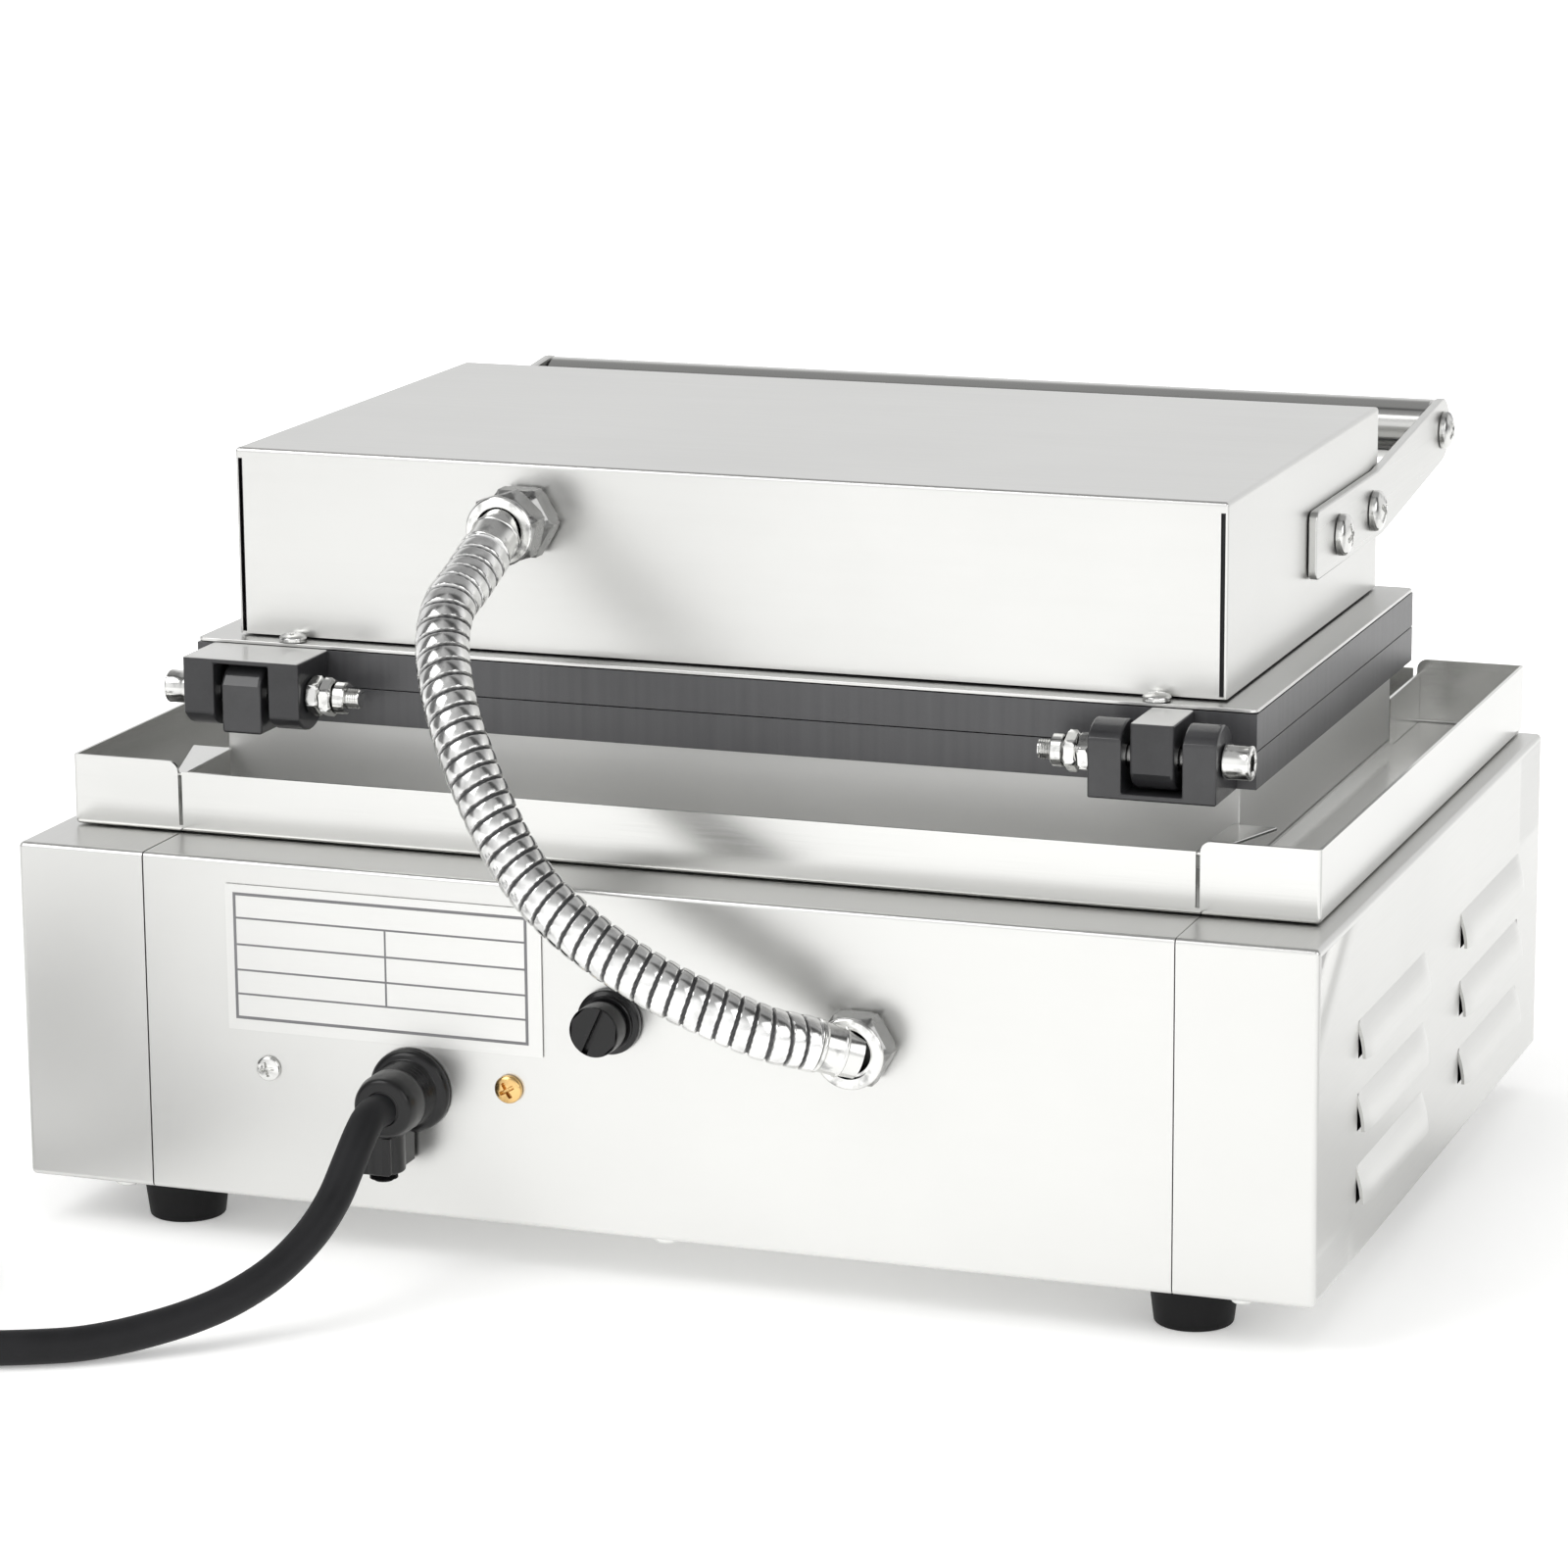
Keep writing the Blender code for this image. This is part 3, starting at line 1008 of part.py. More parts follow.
# Conduit: a ribbed metal hose with its bore, from the lid down to the base
first_rib = upper_end + upper_way * GAP
last_rib = lower_end + lower_way * GAP
hose_end = 2 * CONDUIT_RADIUS
hose_line = squared_line(first_rib, upper_way, CONDUIT_ROUTE, last_rib, lower_way, hose_end, RIB_PITCH / 2)
rib_shares = [1 if at % 2 else CONDUIT_ROOT_SHARE for at in range(len(hose_line))]
conduit = tube("power_conduit", hose_line, CONDUIT_RADIUS, BRIGHT_STEEL, radii=rib_shares)
bore_line = squared_line(first_rib - upper_way * OVERRUN, upper_way, CONDUIT_ROUTE,
                         last_rib - lower_way * OVERRUN, lower_way, hose_end, CONDUIT_RADIUS)
cut(conduit, tube("conduit_bore", bore_line, CONDUIT_BORE_RADIUS))
print("conduit length", round(line_length(hose_line), 4))

# Rating label: a plain foil plate
label_x, label_z = SEAM_X - LABEL_INSET, BASE_TOP - LABEL_DROP
box("rating_label", (label_x - LABEL_WIDTH, HALF_DEPTH + GAP, label_z - LABEL_HEIGHT),
    (label_x, HALF_DEPTH + GAP + LABEL_THICKNESS, label_z), LABEL)

# Cord gland: a flanged moulding through the panel with a clamp underneath
gland_face = HALF_DEPTH + GAP
gland = turned("cord_gland", [
    (0, GLAND_LENGTH), (GLAND_MOUTH_RADIUS, GLAND_LENGTH),
    (GLAND_NECK_RADIUS, GLAND_LENGTH - GLAND_FLANGE_LENGTH),
    (GLAND_NECK_RADIUS, GLAND_FLANGE_LENGTH), (GLAND_FLANGE_RADIUS, GLAND_FLANGE_LENGTH / 2),
    (GLAND_FLANGE_RADIUS, 0), (GLAND_STEM_RADIUS, 0), (GLAND_STEM_RADIUS, -GLAND_STEM_LENGTH),
    (0, -GLAND_STEM_LENGTH)], (GLAND_X, gland_face, GLAND_Z), Y_AXIS, PLASTIC)
clamp_x = GLAND_X + CLAMP_SHIFT
clamp_y = gland_face + CLAMP_BACK + CLAMP_DEPTH / 2
clamp_z = GLAND_Z - CLAMP_DROP
join(gland, rod("gland_clamp", CLAMP_WIDTH / 2, (clamp_x, clamp_y, clamp_z), (clamp_x, clamp_y, GLAND_Z)))
cut(gland, rod("clamp_bore", CLAMP_SHANK_RADIUS + GAP, (clamp_x, clamp_y, clamp_z - OVERRUN),
               (clamp_x, clamp_y, clamp_z + CLAMP_SHANK_LENGTH + GAP), sides=SCREW_SIDES))
domed_screw("gland_clamp_screw", (clamp_x, clamp_y, clamp_z - GAP), -Z_AXIS, CLAMP_SCREW_RADIUS,
            CLAMP_SCREW_HEIGHT, CLAMP_SHANK_RADIUS, CLAMP_SHANK_LENGTH)

# Fuse holder and its bayonet cap
fuse_holder = turned("fuse_holder", [
    (0, FUSE_FLANGE_LENGTH), (FUSE_FLANGE_RADIUS - FUSE_FLANGE_LENGTH / 3, FUSE_FLANGE_LENGTH),
    (FUSE_FLANGE_RADIUS, FUSE_FLANGE_LENGTH / 2), (FUSE_FLANGE_RADIUS, 0), (FUSE_STEM_RADIUS, 0),
    (FUSE_STEM_RADIUS, -FUSE_STEM_LENGTH), (0, -FUSE_STEM_LENGTH)],
                     (FUSE_X, gland_face, FUSE_Z), Y_AXIS, PLASTIC)
fuse_face = gland_face + FUSE_FLANGE_LENGTH
cut(fuse_holder, rod("fuse_bore", FUSE_BORE_RADIUS, (FUSE_X, fuse_face - FUSE_BORE_DEPTH, FUSE_Z),
                     (FUSE_X, fuse_face + OVERRUN, FUSE_Z)))
cap_base = fuse_face + GAP
fuse_cap = turned("fuse_cap", [
    (0, FUSE_CAP_LENGTH), (FUSE_CAP_RADIUS - SHEET, FUSE_CAP_LENGTH),
    (FUSE_CAP_RADIUS, FUSE_CAP_LENGTH - SHEET),
    (FUSE_CAP_RADIUS, 0), (FUSE_BORE_RADIUS - GAP, 0), (FUSE_BORE_RADIUS - GAP, -FUSE_PLUG_LENGTH),
    (0, -FUSE_PLUG_LENGTH)], (FUSE_X, cap_base, FUSE_Z), Y_AXIS, PLASTIC)
cut(fuse_cap, box("fuse_slot", (FUSE_X - FUSE_CAP_RADIUS, cap_base + FUSE_CAP_LENGTH - FUSE_SLOT_DEPTH,
                                FUSE_Z - FUSE_SLOT_WIDTH / 2),
                  (FUSE_X + FUSE_CAP_RADIUS, cap_base + FUSE_CAP_LENGTH + OVERRUN,
                   FUSE_Z + FUSE_SLOT_WIDTH / 2)))
domed_screw("earth_screw", (EARTH_X, gland_face, EARTH_Z), Y_AXIS, EARTH_RADIUS, EARTH_HEIGHT,
            EARTH_SHANK_RADIUS, EARTH_SHANK_LENGTH, BRASS)
panel_holes = [(FUSE_STEM_RADIUS, FUSE_X, FUSE_Z), (GLAND_STEM_RADIUS, GLAND_X, GLAND_Z),
               (EARTH_SHANK_RADIUS, EARTH_X, EARTH_Z),
               (FITTING_STUB_RADIUS, LOWER_FITTING_X, LOWER_FITTING_Z)]
cut(rear_panel, rods("rear_panel_holes", [
    (radius + GAP, (x, HALF_DEPTH - SHEET - OVERRUN, z), (x, HALF_DEPTH + OVERRUN, z))
    for radius, x, z in panel_holes]))

# Front controls: a dial thermostat, a dial timer, two lamps and a rocker switch
front_face = -HALF_DEPTH
knobs = []
for name, x in (("thermostat", THERMOSTAT_X), ("timer", TIMER_X)):
    half = CONTROL_BODY_SIZE / 2
    inner_face = front_face + SHEET + GAP
    body = box(f"{name}_body", (x - half, inner_face, CONTROL_Z - half),
               (x + half, inner_face + CONTROL_BODY_DEPTH, CONTROL_Z + half), PLASTIC)
    join(body, rod(f"{name}_shaft", SHAFT_RADIUS, (x, inner_face + SHEET, CONTROL_Z),
                   (x, front_face - SHAFT_REACH, CONTROL_Z), sides=SCREW_SIDES))
    knob_back = front_face - KNOB_STANDOFF
    knob = turned(f"{name}_knob", [
        (0, KNOB_LENGTH), (KNOB_TIP_RADIUS - SHEET, KNOB_LENGTH), (KNOB_TIP_RADIUS, KNOB_LENGTH - SHEET),
        (KNOB_RADIUS, 0), (0, 0)], (x, knob_back, CONTROL_Z), -Y_AXIS, PLASTIC)
    ridge = KNOB_RIDGE_WIDTH / 2
    join(knob, box(f"{name}_ridge", (x - ridge, knob_back - KNOB_LENGTH - KNOB_RIDGE_HEIGHT,
                                     CONTROL_Z - KNOB_TIP_RADIUS + SHEET),
                   (x + ridge, knob_back - KNOB_LENGTH + SHEET, CONTROL_Z + KNOB_TIP_RADIUS - SHEET)))
    cut(knob, rod(f"{name}_knob_bore", SHAFT_RADIUS + GAP, (x, knob_back + OVERRUN, CONTROL_Z),
                  (x, knob_back - KNOB_BORE_DEPTH, CONTROL_Z)))
    knobs.append((knob, (x, knob_back, CONTROL_Z)))
for name, x, lens in (("power_lamp", POWER_LAMP_X, RED_LENS), ("heating_lamp", HEATING_LAMP_X, GREEN_LENS)):
    dome = [(LAMP_RADIUS * math.cos(angle), LAMP_HEIGHT * math.sin(angle))
            for angle in np.linspace(math.pi / 2, 0, 4)]
    turned(name, [(0, LAMP_HEIGHT)] + dome[1:] + [(LAMP_STEM_RADIUS, 0),
                                                  (LAMP_STEM_RADIUS, -LAMP_STEM_LENGTH),
                                                  (0, -LAMP_STEM_LENGTH)],
           (x, front_face - GAP, CONTROL_Z), -Y_AXIS, lens, SCREW_SIDES)
half_x, half_z = SWITCH_WIDTH / 2, SWITCH_HEIGHT / 2
bezel_face = front_face - GAP - SWITCH_FLANGE
bezel = box("switch_bezel", (SWITCH_X - half_x, bezel_face, CONTROL_Z - half_z),
            (SWITCH_X + half_x, front_face - GAP, CONTROL_Z + half_z), PLASTIC)
stem_x, stem_z = half_x - SWITCH_FLANGE, half_z - SWITCH_FLANGE / 2
join(bezel, box("switch_stem", (SWITCH_X - stem_x, front_face - GAP - SWITCH_FLANGE / 2, CONTROL_Z - stem_z),
                (SWITCH_X + stem_x, front_face + SWITCH_BODY_DEPTH, CONTROL_Z + stem_z)))
well_x = half_x - SWITCH_WALL
cut(bezel, box("switch_well", (SWITCH_X - well_x, bezel_face - OVERRUN, CONTROL_Z - BEZEL_MOUTH_HALF),
               (SWITCH_X + well_x, front_face + SWITCH_BODY_DEPTH - SWITCH_WALL,
                CONTROL_Z + BEZEL_MOUTH_HALF)))
rocker_y = front_face + ROCKER_PIVOT_DEPTH
rocker_shape = [(-ROCKER_FRONT, ROCKER_HALF_HEIGHT), (ROCKER_DISH - ROCKER_FRONT, 0),
                (-ROCKER_FRONT, -ROCKER_HALF_HEIGHT), (ROCKER_HALF_HEIGHT, -ROCKER_HALF_HEIGHT / 2),
                (ROCKER_HALF_HEIGHT, ROCKER_HALF_HEIGHT / 2)]
tilted = Matrix.Rotation(ROCKER_TILT, 2)
rocker_outline = [tilted @ Vector(point) for point in rocker_shape]
switch = slab("power_switch", [(rocker_y + y, CONTROL_Z + z) for y, z in rocker_outline], "X",
              SWITCH_X - well_x + GAP, SWITCH_X + well_x - GAP, PLASTIC)
front_holes = [(SHAFT_RADIUS + SHEET, x) for x in (THERMOSTAT_X, TIMER_X)]
front_holes += [(LAMP_STEM_RADIUS + GAP, x) for x in (POWER_LAMP_X, HEATING_LAMP_X)]
cut(front_panel, rods("front_panel_holes", [
    (radius, (x, front_face - OVERRUN, CONTROL_Z), (x, front_face + SHEET + OVERRUN, CONTROL_Z))
    for radius, x in front_holes]))
cut(front_panel, box("switch_hole", (SWITCH_X - stem_x - GAP, front_face - OVERRUN, CONTROL_Z - stem_z - GAP),
                     (SWITCH_X + stem_x + GAP, front_face + SHEET + OVERRUN, CONTROL_Z + stem_z + GAP)))

# Terminal block: a ceramic bar on the base plate with a slot for each way
block_low = FOOT_HEIGHT + SHEET + GAP
block = box("terminal_block", (TERMINAL_X - TERMINAL_WIDTH / 2, TERMINAL_Y - TERMINAL_DEPTH / 2, block_low),
            (TERMINAL_X + TERMINAL_WIDTH / 2, TERMINAL_Y + TERMINAL_DEPTH / 2, block_low + TERMINAL_HEIGHT),
            CERAMIC)
ways = []
for way in range(TERMINAL_WAYS):
    x = TERMINAL_X + (way - (TERMINAL_WAYS - 1) / 2) * TERMINAL_WIDTH / TERMINAL_WAYS
    ways.append(((x - TERMINAL_SLOT / 2, TERMINAL_Y - TERMINAL_DEPTH,
                  block_low + TERMINAL_HEIGHT - TERMINAL_SLOT_DEPTH),
                 (x + TERMINAL_SLOT / 2, TERMINAL_Y + TERMINAL_DEPTH, block_low + TERMINAL_HEIGHT + OVERRUN)))
cut(block, blocks("terminal_ways", ways))

# Cord: the lead from the gland to the floor, its stored coil in two layers, and the plug
gland_mouth = Vector((GLAND_X, gland_face + GLAND_LENGTH + GAP, GLAND_Z))
coil_middle = Vector((COIL_X, COIL_Y, COIL_LIFT))
angles = np.linspace(0, COIL_TURNS_A_LAYER * math.tau, round(COIL_TURNS_A_LAYER * LOOP_POINTS) + 1)
climb = math.pi
inner_radius = COIL_RADIUS - COIL_PITCH * COIL_TURNS_A_LAYER
loops = []
for angle in angles:
    loops.append((COIL_START - angle, COIL_RADIUS - COIL_PITCH * angle / math.tau, 0))
for angle in np.linspace(0, climb, LOOP_POINTS // 2 + 1)[1:-1]:
    share = angle / climb
    drawn_in = COIL_PITCH * (1 - abs(2 * share - 1)) / 4
    loops.append((COIL_START - angles[-1] - angle, inner_radius - drawn_in,
                  COIL_LAYER_RISE * (3 - 2 * share) * share ** 2))
for angle in angles:
    loops.append((COIL_START - angles[-1] - climb - angle, inner_radius + COIL_PITCH * angle / math.tau,
                  COIL_LAYER_RISE))
coil_line = np.array([(coil_middle.x + radius * math.cos(angle), coil_middle.y + radius * math.sin(angle),
                       coil_middle.z + rise) for angle, radius, rise in loops])
entry_way = Vector(coil_line[0] - coil_line[1]).normalized()
leave_way = Vector(coil_line[-1] - coil_line[-2]).normalized()
leave_way.z = 0
entry = Vector(coil_line[0]) + entry_way * CORD_RADIUS
leave_way = leave_way.normalized()
coil_end = Vector(coil_line[-1])
tail_rise = PLUG_RADIUS + GAP - coil_end.z
tail_line = [coil_end + leave_way * share * (TAIL_LENGTH - 2 * CORD_RADIUS)
             + Z_AXIS * tail_rise * (3 - 2 * share) * share ** 2 for share in (0.25, 0.5, 0.75, 1)]
tail = tail_line[-1] + leave_way * 2 * CORD_RADIUS
coil_line = np.vstack([entry, coil_line, *tail_line, tail])
lead_line = squared_line(gland_mouth, Y_AXIS, CORD_ROUTE, entry + entry_way * GAP, entry_way, CORD_STRAIGHT,
                         2 * CORD_RADIUS)
tube("cord_lead", lead_line, CORD_RADIUS, RUBBER)
tube("cord_coil", coil_line, CORD_RADIUS, RUBBER, resolution=1)
fine_coil = smooth_line(coil_line, CORD_RADIUS)
coil_run = np.arange(len(fine_coil)) * line_length(fine_coil) / (len(fine_coil) - 1)
apart = np.linalg.norm(fine_coil[:, None] - fine_coil[None], axis=2)
apart[np.abs(coil_run[:, None] - coil_run[None]) < math.pi * inner_radius] = math.inf
print("least gap in the coil", round(float(apart.min()) - 2 * CORD_RADIUS, 5))
print("cord length", round(line_length(lead_line) + line_length(coil_line), 4))
plug_way = leave_way
plug_length = PLUG_NECK_LENGTH + PLUG_GRIP_LENGTH + PLUG_FACE_LENGTH
plug_base = tail + plug_way * GAP
plug = turned("power_plug", [
    (0, plug_length), (PLUG_RADIUS - SHEET, plug_length), (PLUG_RADIUS, plug_length - SHEET),
    (PLUG_RADIUS, plug_length - PLUG_FACE_LENGTH), (PLUG_GRIP_RADIUS, plug_length - 2 * PLUG_FACE_LENGTH),
    (PLUG_GRIP_RADIUS, PLUG_NECK_LENGTH + SHEET), (PLUG_NECK_RADIUS, PLUG_NECK_LENGTH - SHEET),
    (PLUG_NECK_RADIUS - SHEET, 0), (0, 0)], (plug_base.x, plug_base.y, plug_base.z), plug_way, RUBBER)
sideways = Z_AXIS.cross(plug_way) * PLUG_PIN_SPACING / 2
pin_root = plug_base + plug_way * (plug_length - SHEET)
join(plug, rods("plug_pins", [(PLUG_PIN_RADIUS, pin_root + sideways * end,
                               pin_root + sideways * end + plug_way * (SHEET + PLUG_PIN_LENGTH))
                              for end in (-1, 1)], sides=SCREW_SIDES))

# Empties on the joints' axes
hinge_axis = (0, HINGE_Y, PARTING_Z)
pivot("lid_axis", hinge_axis, [upper_plate, upper_heater, upper_shield, flange, cover, right_clevis,
                               left_tongue, upper_fitting] + handle + lid_screws)
pivot("fuse_cap_axis", (FUSE_X, cap_base, FUSE_Z), [fuse_cap])
for knob, place in knobs:
    pivot(knob.name + "_axis", place, [knob])
pivot("power_switch_axis", (SWITCH_X, rocker_y, CONTROL_Z), [switch])
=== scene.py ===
"""Corn dog waffle maker: folded stainless sheet, black castings, a strip-wound conduit and a rubber cord."""
import math

import bmesh
import bpy
import numpy as np
from mathutils import Matrix, Vector


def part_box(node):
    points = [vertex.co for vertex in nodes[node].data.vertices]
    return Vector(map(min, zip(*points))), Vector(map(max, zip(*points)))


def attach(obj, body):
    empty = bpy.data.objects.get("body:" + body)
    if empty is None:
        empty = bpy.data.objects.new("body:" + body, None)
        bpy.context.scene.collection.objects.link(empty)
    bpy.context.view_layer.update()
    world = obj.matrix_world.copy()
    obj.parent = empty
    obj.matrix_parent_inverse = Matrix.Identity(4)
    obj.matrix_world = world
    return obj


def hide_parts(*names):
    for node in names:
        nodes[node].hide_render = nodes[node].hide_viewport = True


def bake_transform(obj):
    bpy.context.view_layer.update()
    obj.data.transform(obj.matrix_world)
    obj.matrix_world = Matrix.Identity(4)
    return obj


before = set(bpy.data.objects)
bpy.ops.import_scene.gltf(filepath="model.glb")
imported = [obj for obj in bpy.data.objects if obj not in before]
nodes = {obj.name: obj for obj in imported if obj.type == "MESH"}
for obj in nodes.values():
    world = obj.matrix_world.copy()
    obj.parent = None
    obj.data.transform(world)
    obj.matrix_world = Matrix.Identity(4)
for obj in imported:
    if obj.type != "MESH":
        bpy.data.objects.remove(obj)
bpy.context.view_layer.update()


# Camera: a long lens behind the machine, to its left and a little above it.
# Its place and its turn are real sizes; the lens follows from the focal length in the picture's pixels.
CAMERA_PLACE = Vector((-0.5275, 1.4707, 0.4800))
CAMERA_AZIMUTH = math.radians(200.0)
CAMERA_ELEVATION = math.radians(13.22)
CAMERA_ROLL = math.radians(-0.42)
FOCAL_PIXELS = 5548
PICTURE_PIXELS = 1600
SENSOR_WIDTH = 36.0

backward = Vector((math.sin(CAMERA_AZIMUTH) * math.cos(CAMERA_ELEVATION),
                   -math.cos(CAMERA_AZIMUTH) * math.cos(CAMERA_ELEVATION), math.sin(CAMERA_ELEVATION)))
level = Vector((0, 0, 1)).cross(backward).normalized()
upright = backward.cross(level)
rightward = math.cos(CAMERA_ROLL) * level + math.sin(CAMERA_ROLL) * upright
upward = math.cos(CAMERA_ROLL) * upright - math.sin(CAMERA_ROLL) * level
lens = bpy.data.cameras.new("long_lens")
lens.sensor_width = SENSOR_WIDTH
lens.lens = FOCAL_PIXELS / PICTURE_PIXELS * SENSOR_WIDTH
camera = bpy.data.objects.new("camera", lens)
bpy.context.scene.collection.objects.link(camera)
camera.matrix_world = (Matrix.Translation(CAMERA_PLACE)
                       @ Matrix((rightward, upward, backward)).transposed().to_4x4())
bpy.context.scene.camera = camera


# Studio: a white table that fades into a white room, under large soft lamps.
# Steel mirrors the room: brightest behind the camera, greyer all round, and dark in a strip on each side.
TABLE_HALF = 4.0
TABLE_WHITE = "#F2F2F1"
TABLE_GLOW = 0.27
GLOW_NEAR = 0.38
GLOW_FAR = 0.95
WORLD_LIGHT = 0.62
MIRROR_LIGHT = 1.42
MIRROR_TABLE_NEAR = 0.60
MIRROR_TABLE_FAR = 0.72
CEILING_START = 0.40
CEILING_END = 0.75
CEILING_TONE = 0.42
BRIGHTEST_AZIMUTH = math.radians(-10)
ROOM_TONES = ((0.0, 1.0), (0.09, 1.0), (0.25, 0.72), (0.34, 0.70), (0.40, 0.14), (0.53, 0.14), (0.58, 0.70),
              (1.0, 0.72))
LAMP_TARGET = Vector((0, 0, 0.1))


def linear(hex_colour):
    """An sRGB hex value as linear RGBA: (c / 12.92) in the darks, ((c + 0.055) / 1.055) ** 2.4 above them."""
    channels = [int(hex_colour[at:at + 2], 16) / 255 for at in (1, 3, 5)]
    return (*[c / 12.92 if c <= 0.04045 else ((c + 0.055) / 1.055) ** 2.4 for c in channels], 1.0)


def add_node(tree, kind, sockets=(), **settings):
    """Adds a shader node; sockets maps an input to its value or to the output that feeds it."""
    made = tree.nodes.new("ShaderNode" + kind)
    for name, value in settings.items():
        setattr(made, name, value)
    for name, value in dict(sockets).items():
        if isinstance(value, bpy.types.NodeSocket):
            tree.links.new(value, made.inputs[name])
        else:
            made.inputs[name].default_value = value
    return made


def start_material(name):
    """An empty material and its node tree."""
    material = bpy.data.materials.new(name)
    material.use_nodes = True
    material.node_tree.nodes.clear()
    return material, material.node_tree


def room_tone(tree, vector):
    """The room's brightness in a direction or at a place.
    It is a ramp over the azimuth's distance from the brightest one, as a share of half a turn."""
    parts = add_node(tree, "SeparateXYZ", {0: vector}).outputs
    azimuth = add_node(tree, "Math", {0: parts[0], 1: parts[1]}, operation="ARCTAN2").outputs[0]
    turned = add_node(tree, "Math", {0: azimuth, 1: BRIGHTEST_AZIMUTH}, operation="SUBTRACT").outputs[0]
    wrapped = add_node(tree, "Math", {0: turned, 1: math.pi, 2: -math.pi}, operation="WRAP").outputs[0]
    distance = add_node(tree, "Math", {0: wrapped}, operation="ABSOLUTE").outputs[0]
    ramp = add_node(tree, "ValToRGB", {"Fac": add_node(tree, "Math", {0: distance, 1: math.pi},
                                                      operation="DIVIDE").outputs[0]})
    stops = ramp.color_ramp.elements
    for place, _ in ROOM_TONES[1:-1]:
        stops.new(place)
    for stop, (place, tone) in zip(stops, ROOM_TONES):
        stop.position = place
        stop.color = (tone, tone, tone, 1.0)
    return ramp.outputs["Color"]


def painted_table():
    """White paint: matt, so that it only takes soft shadows.
    It glows to the eye and in the steel, and more so far away."""
    material, tree = start_material("white_painted_table")
    path = add_node(tree, "LightPath").outputs
    seen = add_node(tree, "Math", {0: path["Is Camera Ray"], 1: path["Is Transmission Ray"]}, operation="ADD",
                    use_clamp=True).outputs[0]
    place = add_node(tree, "TexCoord").outputs["Object"]
    away = add_node(tree, "VectorMath", {0: place}, operation="LENGTH").outputs["Value"]
    glow = add_node(tree, "MapRange", {"Value": away, "From Min": GLOW_NEAR, "From Max": GLOW_FAR,
                                       "To Min": TABLE_GLOW, "To Max": 1.0}, interpolation_type="SMOOTHSTEP")
    mirror = add_node(tree, "MapRange", {"Value": away, "From Min": GLOW_NEAR, "From Max": GLOW_FAR,
                                         "To Min": MIRROR_TABLE_NEAR, "To Max": MIRROR_TABLE_FAR})
    mirror = add_node(tree, "Math", {0: mirror.outputs[0], 1: room_tone(tree, place)}, operation="MULTIPLY")
    mirror = add_node(tree, "Math", {0: mirror.outputs[0], 1: path["Is Glossy Ray"]}, operation="MULTIPLY")
    glow = add_node(tree, "Math", {0: seen, 1: glow.outputs[0], 2: mirror.outputs[0]},
                    operation="MULTIPLY_ADD")
    shader = add_node(tree, "BsdfPrincipled", {
        "Base Color": linear(TABLE_WHITE), "Roughness": 0.9, "Emission Color": (1, 1, 1, 1),
        "Emission Strength": glow.outputs[0]})
    add_node(tree, "OutputMaterial", {"Surface": shader.outputs[0]})
    return material


def grid_patch(points, ring=True, caps=(), flip=False, left_out=None):
    """A surface over a grid of points [row, column]: a quad between neighbours, less any left out.
    ring joins the last column to the first; caps closes the first (0) or last (-1) row; flip inverts it."""
    rows, columns = points.shape[:2]
    row, column = np.meshgrid(np.arange(rows - 1), np.arange(columns if ring else columns - 1), indexing="ij")
    ahead = (column + 1) % columns
    quads = np.stack([row * columns + column, row * columns + ahead, (row + 1) * columns + ahead,
                      (row + 1) * columns + column], axis=-1)
    faces = (quads.reshape(-1, 4) if left_out is None else quads[~left_out]).tolist()
    for cap in caps:
        edge = list(range(columns)) if cap == 0 else list(range((rows - 1) * columns, rows * columns))
        faces.append(edge[::-1] if cap == 0 else edge)
    return points.reshape(-1, 3), [face[::-1] for face in faces] if flip else faces


MERGE = 1e-6
SHARP_ANGLE = math.radians(32)


def placed(name, mesh, material):
    """A mesh as an object at the origin, smooth, with its edges over 32 degrees kept sharp."""
    mesh.shade_smooth()
    mesh.set_sharp_from_angle(angle=SHARP_ANGLE)
    mesh.materials.append(material)
    piece = bpy.data.objects.new(name, mesh)
    bpy.context.scene.collection.objects.link(piece)
    return piece


def surface_piece(name, patches, material):
    """Joins patches into one mesh object, whose points are merged where they meet."""
    starts = np.cumsum([0] + [len(points) for points, _ in patches])
    faces = [[at + start for at in face]
             for start, (_, some) in zip(starts.tolist(), patches) for face in some]
    mesh = bpy.data.meshes.new(name)
    mesh.from_pydata(np.vstack([points for points, _ in patches]), [], faces)
    shape = bmesh.new()
    shape.from_mesh(mesh)
    bmesh.ops.remove_doubles(shape, verts=shape.verts, dist=MERGE)
    shape.to_mesh(mesh)
    shape.free()
    return placed(name, mesh, material)


table_corners = TABLE_HALF * np.array([[(-1, -1, 0), (1, -1, 0)], [(-1, 1, 0), (1, 1, 0)]], float)
table = surface_piece("table", [grid_patch(table_corners, ring=False)], painted_table())

world = bpy.data.worlds.new("white_studio")
bpy.context.scene.world = world
world.use_nodes = True
room = world.node_tree
room.nodes.clear()
ray = add_node(room, "LightPath").outputs
direction = add_node(room, "TexCoord").outputs["Generated"]
height = add_node(room, "SeparateXYZ", {0: direction}).outputs[2]
ceiling = add_node(room, "MapRange", {"Value": height, "From Min": CEILING_START, "From Max": CEILING_END,
                                      "To Min": MIRROR_LIGHT, "To Max": MIRROR_LIGHT * CEILING_TONE},
                   interpolation_type="SMOOTHSTEP")
mirrored = add_node(room, "Math", {0: room_tone(room, direction), 1: ceiling.outputs[0]},
                    operation="MULTIPLY")
strength = add_node(room, "Mix", {"Factor": ray["Is Glossy Ray"], 2: WORLD_LIGHT, 3: mirrored.outputs[0]})
straight = add_node(room, "Math", {0: ray["Is Camera Ray"], 1: ray["Is Transmission Ray"]}, operation="ADD",
                    use_clamp=True)
